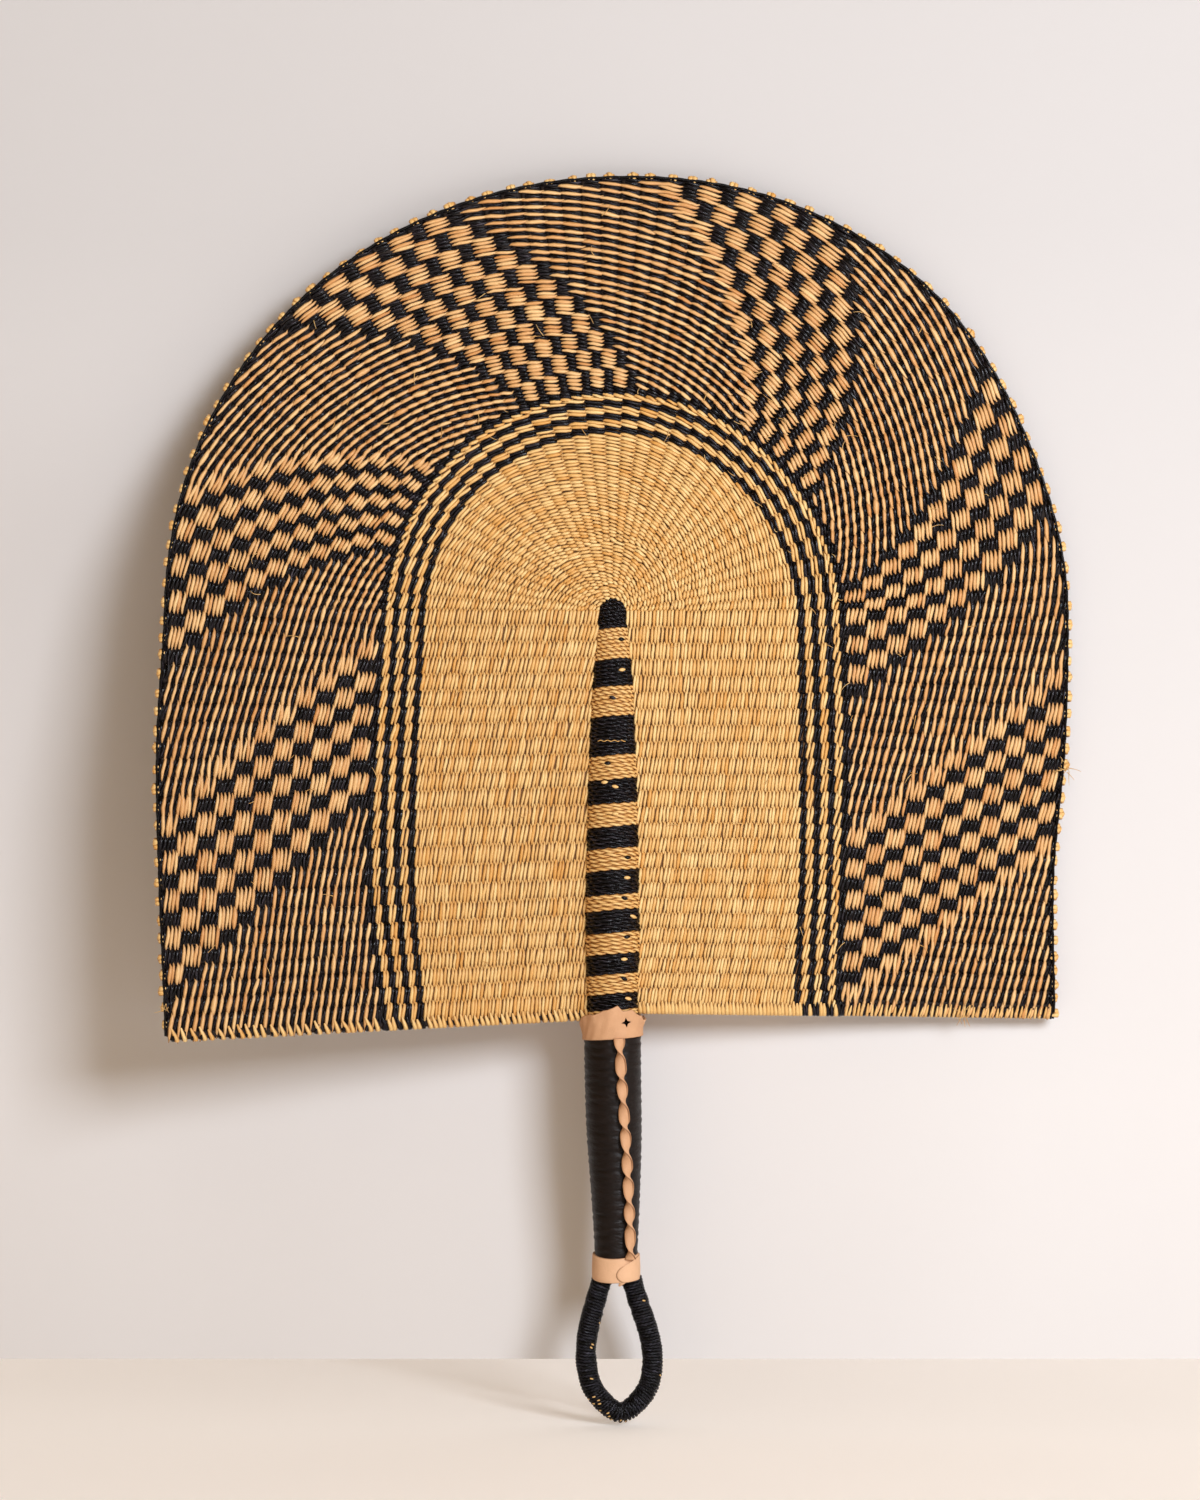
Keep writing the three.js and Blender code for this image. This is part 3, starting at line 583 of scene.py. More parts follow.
def twine(rows, places, showing, sway, reach_on, tip=0.3, proud=0.0, wide=1.0, shade_tips=0.5,
          past=1.5):
    """One strand of each twined row. It shows at the ribs where showing is 1, and lies behind at
    the others; between ribs it changes sides, inward as it goes back and outward as it comes. What
    shows reaches on past the middle between two ribs by the share reach_on, and narrows to tip."""
    count, ribs = places.shape
    rows = np.asarray(rows, float)[:, None]
    sway = np.broadcast_to(sway, (count, ribs + 1))
    middles = np.concatenate([places[:, :1] - 1.5, places, places[:, -1:] + past], 1)
    before = np.concatenate([-showing[:, :1], showing], 1)
    after = np.concatenate([showing, -showing[:, -1:]], 1)
    change = before != after
    cross_u = (middles[:, :-1] + middles[:, 1:]) / 2
    cross_u = cross_u + reach_on * (before - after) / 2 * (middles[:, 1:] - middles[:, :-1])
    cross_u = cross_u + chance.normal(0, UNEVEN_CROSSING, cross_u.shape)
    cross_sway = np.where(change, np.where(after > 0, sway, -HOOK * sway), 0.0)
    cross_sway = cross_sway * chance.normal(1, UNEVEN_SWING, cross_sway.shape)
    each = len(STITCH) + 1
    total = each * ribs + 1
    u, front, wander, thick, tone = (np.zeros((count, total)) for _ in range(5))
    u[:, 0::each], wander[:, 0::each] = cross_u, cross_sway
    front[:, 0::each] = np.where(change, 0.0, STAYING * after)
    thick[:, 0::each] = np.where(change, tip, NARROWED)
    bold = chance.normal(1, UNEVEN_WIDTH, (count, ribs)) * wide
    stitch_tone = chance.normal(0, UNEVEN_TONE, (count, ribs))
    left, right = change[:, :-1], change[:, 1:]
    for k, q in enumerate(STITCH, 1):
        end = left if q < 0 else right
        toward = cross_u[:, :-1] if q < 0 else cross_u[:, 1:]
        u[:, k::each] = places + (toward - places) * abs(q)
        swell = math.cos(abs(q) * math.pi / 2)
        front[:, k::each] = showing * np.where(end, swell ** 0.5, STAYING + (1 - STAYING) * swell)
        passed = cross_sway[:, :-1] if q < 0 else cross_sway[:, 1:]
        swung = passed if q < 0 else passed / HOOK
        wander[:, k::each] = np.where(showing > 0, swung * SWING[k - 1], passed * abs(q))
        thick[:, k::each] = bold * np.where(end, tip + (1 - tip) * swell ** 0.7,
                                            NARROWED + (1 - NARROWED) * swell)
        tone[:, k::each] = stitch_tone
    shift = chance.normal(0, UNEVEN_ROW, (count, total)) + drift((count, total), 17, ROW_WANDER)
    level = front * LIFT + proud * (1 + 2 * np.minimum(front, 0))
    points = blade(u, row_reach(u, rows) + wander + shift, level)
    lean = 0.16 + drift((count, total), 4, 0.12)
    facing = FRONT + lean[..., None] * outward(u) * np.sign(front + 1e-6)[..., None]
    tone += 0.55 + chance.normal(0, ROW_TONE, (count, 1)) + drift((count, total), 40, 0.10)
    # Painted shade: where a strand dips between ribs its colour goes towards the shadow colour.
    lift = np.clip(1 - shade_tips * (1 - np.abs(front)) * 1.4, 0, 1)
    return [strand(points[k], facing[k], chance.uniform(0, 900), girth=thick[k], tone=tone[k],
                   lift=lift[k]) for k in range(count)]


def natural_showing(rows, places):
    """1 at every second rib of a row and -1 between, and the other way round in the next row."""
    return np.where((rows[:, None] + np.arange(places.shape[1])) % 2, 1, -1)


STRAND_SIZE = (0.88, 0.52)
natural_lines = [[] for _ in range(NATURAL_ROWS)]
for groups, block_rows in ((9, range(0, 4)), (18, range(4, 16)), (35, range(16, NATURAL_ROWS))):
    rows = np.array(block_rows)
    places = np.repeat(inner_ribs(groups)[None], len(rows), 0)
    places = places + drift(places.shape, 3, 0.03)
    showing = natural_showing(rows, places)
    for part in (1, -1):
        made = twine(rows, places, showing * part, sway=0.60, reach_on=0.17, shade_tips=0.4)
        for row, line in zip(rows, made):
            natural_lines[row].append(line)
for label, first, last in (("inner", 0, 20), ("middle", 20, 33), ("outer", 33, NATURAL_ROWS)):
    make_strands("natural_weft_" + label, sum(natural_lines[first:last], []), *STRAND_SIZE, 6,
                 straw_finish, "straw_weft", ["natural_field"])


# Rings: seven rings of two rows each, of dyed and plain grass in turn, twined on round the natural
# field. In the last plain ring the pairs of ribs part, so its outer row has twice the stitches.
def dyed_material(name, base, glint_colour):
    """Dyed grass with painted highlights: glint-coloured streaks where it faces out of the weave.
    """
    material, shade = new_material(name)
    fibre, facing = grass_fibre(shade)
    # Painted highlight: glint colour mixed into the base along the fibre streaks.
    painted_glint = (fibre - 0.53) * 6.0 * facing * (shade.attribute("tone") + 0.3)
    shade.surface(
        Base_Color=painted_glint.clamp().mix(base, glint_colour), Roughness=0.12 + fibre * 0.17,
        Specular_IOR_Level=0.22, Normal=shade.bump(fibre, 0.16))
    return material


dyed_finish = dyed_material("dyed_grass", (0.0008, 0.0003, 0.0005, 1), (0.085, 0.070, 0.088, 1))

PAIRED_ROWS = 11
ring_straw, ring_dyed = [], []
for row in range(NATURAL_ROWS, NATURAL_ROWS + RING_ROWS):
    paired = row < NATURAL_ROWS + PAIRED_ROWS
    places = (inner_ribs(PAIRS) if paired else rib_places(np.array(RINGS_REACH)))[None]
    places = places + drift(places.shape, 3, 0.03)
    showing = natural_showing(np.array([row]), places)
    plain = (row - NATURAL_ROWS) // 2 % 2 == 1
    for part in (1, -1):
        made = twine([row], places, showing * part, sway=0.72, reach_on=0.16, tip=0.36,
                     shade_tips=0.45, past=1.5 if paired else 0.5)
        (ring_straw if plain else ring_dyed).extend(made)
make_strands("ring_rows_straw", ring_straw, *STRAND_SIZE, 6, straw_finish,
             "straw_weft", ["ring_straw_1", "ring_straw_2", "ring_straw_3"])
make_strands("ring_rows_dyed", ring_dyed, *STRAND_SIZE, 6, dyed_finish,
             "dyed_weft", ["ring_black_1", "ring_black_2", "ring_black_3", "ring_black_4"])


# Patterned field: each row twines one plain and one dyed strand. Where they change over at every
# rib and every row they draw slanting stripes, and where five rows are alike they draw checks.
CHECK_ROWS = 5
CHECK_BANDS = ((12, 21), (30, 39), (50, 60), (71, 80), (90, 98), (107, 117))
FLATTENED, FLATTENED_WIDE = 0.025, 1.35
PATTERN_STRAW_SIZE, PATTERN_DYED_SIZE = (0.98, 0.52), (0.88, 0.46)
# Its near-black shadow colour is painted shade in the gaps between the stitches.
pattern_finish = straw_material(
    "plain_grass_outer", (0.95, 0.61, 0.27, 1), (0.70, 0.31, 0.09, 1), (0.16, 0.045, 0.008, 1),
    1.45)

# In the bands a whole block of rows shows the same strand at a rib. Elsewhere each row changes.
row, rib = np.mgrid[:PATTERN_ROWS, :RIB_COUNT]
block = row // CHECK_ROWS
pattern_checks = np.any([(first <= rib + block) & (rib + block <= last)
                         for first, last in CHECK_BANDS], axis=0)
pattern_showing = np.where((np.where(pattern_checks, block, row) + rib) % 2, 1, -1)
pattern_reach = RINGS_REACH + (np.arange(PATTERN_ROWS) + 0.5) / PATTERN_ROWS * (
    RIM_REACH - RINGS_REACH)
pattern_places = rib_places(pattern_reach)
pattern_places = pattern_places + drift(pattern_places.shape, 3, 0.03)
before, after = pattern_checks[:, :1], pattern_checks[:, -1:]
between_checks = np.hstack([before, pattern_checks]) & np.hstack([pattern_checks, after])
pattern_sway = np.where(between_checks, 0.74, 0.94)
pattern_wide = np.where(pattern_checks, 0.95, 0.97)
flattened = chance.uniform(size=pattern_wide.shape) < FLATTENED
pattern_wide = pattern_wide * np.where(flattened, FLATTENED_WIDE, 1.0)
for label, first, last in (("inner", 0, 27), ("outer", 27, PATTERN_ROWS)):
    index = np.arange(first, last)
    rows = index + NATURAL_ROWS + RING_ROWS
    places, showing, sway = pattern_places[index], pattern_showing[index], pattern_sway[index]
    plain = twine(rows, places, showing, sway, reach_on=0.24, tip=0.17, proud=0.34,
                  wide=pattern_wide[index], past=0.5)
    dyed = twine(rows, places, -showing, sway, reach_on=-0.03, tip=0.62, proud=-0.10, past=0.5)
    make_strands("pattern_straw_" + label, plain, *PATTERN_STRAW_SIZE, 6, pattern_finish,
                 "pattern_weft", ["patterned_field"])
    make_strands("pattern_dyed_" + label, dyed, *PATTERN_DYED_SIZE, 6, dyed_finish,
                 "pattern_weft", ["patterned_field"])


# Loose ends: short fibres of the plain grass that have sprung out of the weave, and three frayed
# tufts where a new strand was laid in.
LOOSE_COUNT, LOOSE_SIZE = 150, (0.20, 0.16)
TUFTS = [(152.7, 59.0, 9), (197.7, 165.2, 12), (-194.5, 61.0, 6)]


def loose_end(x, z, heading, length, curl):
    """A thin fibre that starts in the weave at x, z and bends out of it."""
    t = np.linspace(0, 1, 7)
    bend = heading + curl * t
    across = x + np.concatenate([[0], np.cumsum(np.cos(bend[1:]))]) * length / 6
    up = z + np.concatenate([[0], np.cumsum(np.sin(bend[1:]))]) * length / 6
    out = 1.2 + (0.8 + 0.12 * length) * np.sin(t * 2.2)
    return strand(np.stack([across, bow(across) - out, up], -1), FRONT, 11 * x,
                  girth=1 - 0.6 * t, tone=chance.uniform(0.3, 1.0))


loose_lines = []
for _ in range(LOOSE_COUNT):
    u, v = chance.uniform(2, ROUND - 2), chance.uniform(25, 185)
    x, _, z = blade(np.array(u), np.array(v), 0.0)
    loose_lines.append(loose_end(x, z, chance.uniform(0, 6.3), chance.uniform(2.0, 6.5),
                                 chance.normal(0, 0.9)))
for x, z, count in TUFTS:
    for _ in range(count):
        loose_lines.append(loose_end(
            x + chance.normal(0, 1.2), z + chance.normal(0, 1.2), chance.uniform(0, 6.3),
            chance.uniform(2.5, 6.0), chance.normal(0, 0.5)))
make_strands("loose_fibres", loose_lines, *LOOSE_SIZE, 5, straw_finish, "straw_weft")


# Edge row and rim: one row of dyed grass, a dyed strand laid round the edge on each face, and plain
# grass knotted over them at the end of every rib.
edge_places = rib_places(np.array(RIM_REACH))
edge_showing = natural_showing(np.array([0]), edge_places[None])
edge_lines = []
for part in (1, -1):
    edge_lines += twine([ROWS - 1], edge_places[None], edge_showing * part, sway=0.5, reach_on=0.0,
                        tip=0.7, past=0.5)
EDGE_FRONT, EDGE_BACK, EDGE_INSET, EDGE_SIZE = 1.45, -0.9, 1.0, (0.86, 0.62)
u = np.linspace(-0.3, ROUND + 0.3, 620)
for front in (EDGE_FRONT, EDGE_BACK):
    out = reach_at(u, RIM) - EDGE_INSET + 0.12 * np.sin(u * 5.1)
    edge_lines.append(strand(blade(u, out, np.full_like(u, front)), outward(u),
                             tone=0.5 + 0.3 * np.sin(u * 7)))
make_strands("edge_rows_dyed", edge_lines, *EDGE_SIZE, 6, dyed_finish, "dyed_weft", ["edge_row"])

KNOT_INSET, KNOT_PROUD, KNOT_TUCK, KNOT_SIZE = 1.2, 1.3, 0.5, (1.30, 0.85)
THREE_STRANDS = 0.45
turn = np.linspace(-KNOT_TUCK, math.pi + KNOT_TUCK, 11)
over, ahead = np.sin(turn), np.cos(turn)
knot_lines = []
for rib, place in enumerate(edge_places):
    size = chance.uniform(0.6, 1.3)
    centre = place + chance.normal(0, 0.06)
    strands = 3 if chance.uniform() < THREE_STRANDS else 2
    for k in range(strands):
        offset = k - (strands - 1) / 2
        across = centre + (0.12 + 0.03 * size) * offset + (0.06 if k % 2 else -0.05) * ahead
        bulge = 0.6 + 1.3 * size - 0.45 * abs(offset) + chance.normal(0, 0.15)
        knot_lines.append(strand(
            blade(across, reach_at(across, RIM) - KNOT_INSET + bulge * over, KNOT_PROUD * ahead),
            outward(across) * over[:, None] + FRONT * ahead[:, None], 30 * rib,
            girth=0.45 + 0.6 * np.clip(over + 0.35, 0, 1) * chance.uniform(0.8, 1.2),
            tone=chance.normal(0.52, 0.18)))
make_strands("rim_knots", knot_lines, *KNOT_SIZE, 6, straw_finish, "straw_weft", ["rim_strand"])


# Hems: whip stitches of grass that bind the last rib of each half, slanting on the left, where the
# blade was finished off, and nearly upright on the right, where the rows turn round the rib. The
# tables give them for the left (-1) and right (1), inside the rings and from the rings out.
HEM_TURN, HEM_RINGS = 100.0, (82.0, 101.0)
RING_WIDE = 2.75
HEM_PITCH = {-1: (2.3, 3.8), 1: (1.55, 2.0)}
HEM_SLANT = {-1: (1.1, 1.9), 1: (0.2, -0.8)}
HEM_TALL = {-1: (4.9, 5.4), 1: (5.2, 4.9)}
HEM_GIRTH = {-1: 0.68, 1: 0.75}
HEM_PROUD, HEM_FOOT = 2.0, 0.3
HEM_SIZE, HEM_DYED_SIZE = (1.08, 0.62), (0.95, 0.55)
HEM_RIB, HEM_RIB_SIZE = (10.0, 193.0), (2.0, 1.3)


def hem_stitches(side):
    """Plain and dyed stitches of one hem, as two lists of strands."""
    plain, dyed = [], []
    last_rib = np.array(0.0 if side < 0 else ROUND)
    place, end = float(spine_reach(last_rib) + 1.0), reach_at(last_rib, RIM) - 0.6
    turn = np.linspace(0, math.pi, 9)
    over, ahead = np.sin(turn), np.cos(turn)
    count = 0
    while place < end:
        x = side * place
        outer = place > HEM_TURN
        foot = float(hem_foot(np.array(x))) + HEM_FOOT
        rise = HEM_TALL[side][outer] * chance.uniform(0.8, 1.15) * (1 - over ** 0.8)
        lean = HEM_SLANT[side][outer] * chance.uniform(0.6, 1.4)
        lean = lean * (over + 0.25 * np.sin(2 * turn))
        y = bow(np.full_like(turn, x)) - HEM_PROUD * ahead
        points = np.stack([x + lean, y, foot + rise], -1)
        line = strand(points, np.stack([0 * turn, -ahead, -over], -1), 20 * count,
                      girth=0.42 + HEM_GIRTH[side] * over ** 0.4, tone=chance.normal(0.6, 0.16))
        ring = (place - HEM_RINGS[0]) // RING_WIDE
        dark = HEM_RINGS[0] < place < HEM_RINGS[1] and ring % 2 == 0
        (dyed if dark else plain).append(line)
        if side > 0 and outer:
            line["girth"] = 0.62 * line["girth"]
            dyed.append(dict(line, points=points + (1.0, 0.2, 0.1)))
        if side < 0 and outer:
            beside = np.stack([x + 1.9 - 0.5 * lean, y + 0.25, foot + 0.2 + 0.7 * rise], -1)
            dyed.append(dict(line, points=beside))
        place += HEM_PITCH[side][outer] * chance.uniform(0.82, 1.18)
        count += 1
    return plain, dyed


for side, label in ((-1, "left"), (1, "right")):
    plain, dyed = hem_stitches(side)
    make_strands("hem_stitches_" + label, plain, *HEM_SIZE, 6, straw_finish, "straw_weft",
                 ["hem_" + label])
    make_strands("hem_dyed_stitches_" + label, dyed, *HEM_DYED_SIZE, 6, dyed_finish, "dyed_weft",
                 ["hem_" + label])
    x = side * np.linspace(*HEM_RIB, 40)
    # The hem's bound rib is drawn near black, in the ribs' painted shade.
    hem_rib = strand(np.stack([x, bow(x), hem_foot(x) + 2.7], -1), FRONT, tone=1.0)
    make_strands("hem_rib_" + label, [hem_rib], *HEM_RIB_SIZE, 10, rib_finish, "stalks")


# Spine wraps: grass wound round the bundle in close turns, dyed and plain in turn. Each turn is two
# strands twisted about each other, and the first wrap closes over the tip.
SLEEVE_TOP = 48.0
SPINE_FOOT = SLEEVE_TOP + 12.4
SPINE_TOP = FAN_HEIGHT + BUNDLE_HALF[0]
WRAP_HEIGHTS = [13.5, 13.5, 11.8, 13.1, 17.0, 10.5, 10.5, 10.0, 9.6, 9.6, 10.5, 6.6, 10.0, 9.2,
                8.8, 8.5, 7.2]
TIP_FLATNESS, GRIP_FLATNESS = 0.6, 0.92
TURN_PITCH = 1.75
TWISTS = 7
TURN_SIZE = (0.70, 0.46)
LEAN = 1.8
SLEEVE_FOOT = -46.4


def bundle_half(z):
    return along(BUNDLE_HALF, (FAN_HEIGHT - z) / (FAN_HEIGHT - BUNDLE_FOOT))


def bundle_depth(z):
    share = np.clip((FAN_HEIGHT - z) / (FAN_HEIGHT - SLEEVE_TOP), 0, 1)
    return bundle_half(z) * (TIP_FLATNESS + (GRIP_FLATNESS - TIP_FLATNESS) * share)


def bundle_centre(z):
    share = np.clip((SLEEVE_TOP - z) / (SLEEVE_TOP - SLEEVE_FOOT), 0, 1)
    return LEAN * share * share * (3 - 2 * share)


def oval_point(angle, z, grow):
    """A point round the bundle. Angle 0 is to the right, and a quarter turn is to the front."""
    shrink = np.sqrt(np.clip(1 - (np.clip(z - FAN_HEIGHT, 0, None) / BUNDLE_HALF[0]) ** 2, 0, 1))
    x = bundle_centre(z) + (bundle_half(z) * shrink + grow) * np.cos(angle)
    y = -(bundle_depth(z) * shrink + grow) * np.sin(angle)
    return np.stack([x, y, z], -1)


def away_from(angle):
    """Straight out of the bundle at that angle."""
    return np.stack([np.cos(angle), -np.sin(angle), 0 * angle], -1)


def wound_turns(top, foot, tones):
    """The turns of one wrap: two twisted strands each, and one beneath them that fills in."""
    lines = []
    count = max(2, round((top - foot) / TURN_PITCH))
    pitch = (top - foot) / count
    angle = np.linspace(0, 2 * math.pi, 73)
    for k in range(count):
        z = top - (k + 0.5) * pitch
        start = chance.uniform(0, 6.3)
        wave = 0.12 * np.sin(3 * angle + chance.uniform(0, 6.3))
        rise = 0.08 * bundle_half(z) * np.cos(angle) + 0.5 * np.clip(np.sin(angle), 0, 1) - 0.2
        swing = chance.uniform(0.2, 0.3) * pitch
        for part in (0, math.pi):
            twist = angle * TWISTS + part + start
            # Painted shade: in plain grass each strand is darker where its twist takes it under the
            # other.
            level = z + rise + wave + swing * np.sin(twist)
            points = oval_point(angle, np.minimum(level, SPINE_TOP - 0.5),
                                -0.40 + 0.34 * np.cos(twist) + chance.normal(0, 0.04))
            # Painted light: each strand's tone, and so its paleness and glint, is a little higher
            # on top.
            lines.append(strand(
                points, away_from(angle), chance.uniform(0, 500), girth=0.80 + 0.2 * np.cos(twist),
                lift=np.clip(0.5 + 0.65 * np.cos(twist), 0, 1),
                tone=tones + 0.12 * np.cos(twist) + chance.normal(0, 0.10)))
        # The filler beneath is painted all in the shadow colour in plain grass: painted shade in
        # the gaps.
        points = oval_point(angle, np.minimum(z + pitch / 2 + rise, SPINE_TOP - 0.5), -1.15)
        lines.append(strand(points, away_from(angle), girth=1.15, lift=0.0, tone=0.1))
    return lines


band_top = SPINE_TOP
share = (SPINE_TOP - SPINE_FOOT) / sum(WRAP_HEIGHTS)
for k, height in enumerate(WRAP_HEIGHTS):
    band_foot = band_top - height * share
    black = k % 2 == 0
    label = ("black_" if black else "straw_") + str(k // 2 + 1)
    make_strands("wound_" + label, wound_turns(band_top, band_foot, 0.42), *TURN_SIZE, 6,
                 dyed_finish if black else straw_finish,
                 "dyed_weft" if black else "straw_weft", ["spine_wrap_" + label])
    band_top = band_foot


# Spine flecks: ends of grass of the other colour that show where each wrap was begun, and a thin
# plain thread across the widest black wrap. They are tucked under the turns.
STRAW_FLECKS = [
    (4.1, 208.9), (1.1, 158.0), (-3.5, 159.9), (1.1, 146.2), (6.3, 118.4), (9.0, 101.4),
    (5.0, 83.0), (6.8, 65.8)]
DYED_FLECKS = [
    (3.9, 222.2), (0.0, 196.7), (0.7, 184.4), (-2.2, 168.2), (3.7, 137.7), (6.6, 127.2),
    (5.2, 109.5), (6.3, 92.7), (5.0, 74.5)]
FLECK_LONG, FLECK_SIZE = 2.6, (0.85, 0.6)
THREAD_ENDS, THREAD_HEIGHT, THREAD_SIZE = (-6.4, 5.6), 177.9, (0.22, 0.2)


def on_spine(x, z, off):
    """Points on the front of the spine at those sides and heights."""
    across = np.clip((x - bundle_centre(z)) / bundle_half(z), -0.98, 0.98)
    return np.stack([x, -bundle_depth(z) * np.sqrt(1 - across ** 2) - off, z], -1)


def flecks(places):
    lines = []
    t = np.linspace(-0.5, 0.5, 5)
    for x, z in places:
        tilt = chance.uniform(-0.5, 0.2)
        points = on_spine(x + FLECK_LONG * t, z + FLECK_LONG * t * tilt, 0.5 - 1.4 * t ** 2)
        lines.append(strand(points, FRONT, 7 * x, girth=1 - 2.4 * t ** 2,
                            tone=chance.uniform(0.5, 0.8)))
    return lines


make_strands("spine_flecks_plain", flecks(STRAW_FLECKS), *FLECK_SIZE, 8, straw_finish, "straw_weft")
make_strands("spine_flecks_dyed", flecks(DYED_FLECKS), *FLECK_SIZE, 8, dyed_finish, "dyed_weft")
x = np.linspace(*THREAD_ENDS, 40)
points = on_spine(x, THREAD_HEIGHT + 0.25 * np.sin(x * 2.1), 0.25 + 0.2 * np.sin(x * 3.3))
make_strands("spine_thread", [strand(points, FRONT, tone=0.3)], *THREAD_SIZE, 6, straw_finish,
             "straw_weft")


# Grip wrapping: plain grass wound over the bundle below the blade. The leather hides it but for a
# turn above the upper collar, and dyed turns that tie it off show through the collar's slit.
TIE_TOP, TIE_FOOT = 58.4, 52.0
HIDDEN_PITCH = 1.6
turns = wound_turns(SPINE_FOOT, TIE_TOP, 0.45)
angle = np.linspace(0, 2 * math.pi, 37)
for z in np.arange(TIE_FOOT, BUNDLE_FOOT + 1, -HIDDEN_PITCH):
    points = oval_point(angle, np.full_like(angle, z - HIDDEN_PITCH / 2), -0.5)
    turns.append(strand(points, away_from(angle), girth=1.3))
make_strands("wound_grip", turns, *TURN_SIZE, 6, straw_finish, "straw_weft", ["grip_wrapping"])
make_strands("wound_tie", wound_turns(TIE_TOP, TIE_FOOT, 0.1), *TURN_SIZE, 6, dyed_finish,
             "dyed_weft", ["grip_wrapping"])


# Leather sleeve: thin black leather drawn round the grip, with its edges meeting under the lace.
# It is slightly rippled, and its ends lie under the two collars.
LEATHER = 1.2
GAP = 0.3
SLEEVE_ROUND, SLEEVE_LEVELS, LINING_LEVELS = 96, 90, 10
TUCKED, COVERED = 2.4, 1.0


def skin_rings(rings, closed):
    """Faces between rings of points that have the same count."""
    size = len(rings[0])
    faces = []
    for k in range(len(rings) if closed else len(rings) - 1):
        here, there = k * size, (k + 1) % len(rings) * size
        for i in range(size):
            j = (i + 1) % size
            faces.append((here + i, here + j, there + j, there + i))
    return faces


leather_finish, shade = new_material("black_leather")
spot = shade.place()
ripple = spot.scaled(120, 120, 420).noise(1.0, 3.0)
grain = spot.noise(2600.0, 2.0)
shade.surface(
    Base_Color=ripple.mix((0.0020, 0.0009, 0.0006, 1), (0.013, 0.006, 0.004, 1)),
    Roughness=0.28 + ripple * 0.25, Specular_IOR_Level=0.24,
    Normal=shade.bump(ripple + grain * 0.15, 0.7))


def sleeve_ring(t, grow):
    """A ring of the sleeve at that share of its way down, where it draws in a little."""
    z = SLEEVE_TOP + COVERED + (SLEEVE_FOOT - TUCKED - SLEEVE_TOP - COVERED) * t
    z = np.full_like(angle, z)
    swell = 0.26 * np.sin(z * 1.9 + 0.6 * np.sin(angle * 2)) * np.sin(z * 0.37 + angle)
    grow = GAP + grow + (swell if grow else 0) - 0.4 * t * t
    return oval_point(angle, z, grow) - (0.3 * t * t, 0, 0)


angle = np.linspace(0, 2 * math.pi, SLEEVE_ROUND, endpoint=False)
rings = [sleeve_ring(t, LEATHER) for t in np.linspace(0, 1, SLEEVE_LEVELS)]
rings += [sleeve_ring(t, 0) for t in np.linspace(1, 0, LINING_LEVELS)]
sleeve = new_piece("sleeve_leather", np.concatenate(rings), skin_rings(rings, True), leather_finish)
fasten(sleeve, ["leather_sleeve"])


# Upper collar: a strip of undyed leather round the top of the sleeve. Its upper edge is torn and
# creased and flares outwards, and a small star-shaped slit is cut in its front.
TOP_COLLAR_HEIGHT = 8.6
TORN_EDGE = [-0.6, 1.7, 4.3, 5.6, 3.2, 1.3, -2.2, -1.0, 0.6, 0.0, 1.1, 0.2, -0.6]
TORN_EVERY = 5
STAR_PLACE, STAR_RADIUS, STAR_WAIST = (5.9, 55.6), 2.2, 0.42
COLLAR_ROUND = 200
CUT_BROWN = (0.17, 0.06, 0.02, 1)


def leather_material(name, deep, pale):
    material, shade = new_material(name)
    spot = shade.place()
    cloud = spot.noise(160.0, 3.0)
    pores = spot.noise(1900.0, 2.0)
    shade.surface(
        Base_Color=(shade.attribute("cut") * 0.8).clamp().mix(
            (cloud * 0.7 + pores * 0.3).clamp().mix(deep, pale), CUT_BROWN),
        Roughness=0.62, Specular_IOR_Level=0.3, Normal=shade.bump(cloud * 0.6 + pores * 0.4, 0.3))
    return material


tan_finish = leather_material("tan_leather", (0.54, 0.27, 0.13, 1), (0.77, 0.44, 0.24, 1))


def add_leather(name, rings, faces, finish, cut, node):
    """A piece of undyed leather. Cut says at each corner how much of the brown cut edge shows."""
    piece = new_piece(name, np.concatenate(rings), faces, finish)
    layer = piece.data.attributes.new("cut", "FLOAT", "POINT")
    layer.data.foreach_set("value", np.asarray(cut, np.float32).ravel())
    return fasten(piece, [node])


def folded(ring, steps, edge):
    """Rings of a strip of leather, over its outside and back on its inside."""
    outside = [ring(t, LEATHER / 2 if 0 < t < 1 else edge) for t in steps]
    return outside + [ring(t, -LEATHER / 2 if 0 < t < 1 else -edge) for t in steps[::-1]]


def without_star(band):
    """The collar's mesh with a four-pointed slit cut through its front."""
    corners = [(STAR_PLACE[0] + r * math.cos(a), STAR_PLACE[1] + r * math.sin(a))
               for a, r in ((math.pi * k / 4 + 0.12, STAR_RADIUS * (STAR_WAIST if k % 2 else 1))
                            for k in range(8))]
    points = [(x, y, z) for y in (-18, -4) for x, z in corners]
    faces = [tuple(range(8)), tuple(range(15, 7, -1))]
    faces += [(k + 8, (k + 1) % 8 + 8, (k + 1) % 8, k) for k in range(8)]
    cutter = new_piece("star", points, faces, tan_finish, smooth=False)
    cut = band.modifiers.new("cut", "BOOLEAN")
    cut.operation, cut.solver, cut.object = "DIFFERENCE", "EXACT", cutter
    graph = bpy.context.evaluated_depsgraph_get()
    made = bpy.data.meshes.new_from_object(band.evaluated_get(graph), depsgraph=graph)
    band.modifiers.remove(cut)
    band.data = made
    bpy.data.objects.remove(cutter)


angle = np.linspace(0, 2 * math.pi, COLLAR_ROUND, endpoint=False)
collar_foot = SLEEVE_TOP + GAP
torn = along(TORN_EDGE, angle / (2 * math.pi))
nicks = chance.normal(0, 0.6, COLLAR_ROUND // TORN_EVERY + 1)
torn = torn + np.interp(np.arange(COLLAR_ROUND), np.arange(len(nicks)) * TORN_EVERY, nicks)
slope = 0.9 * np.cos(angle)


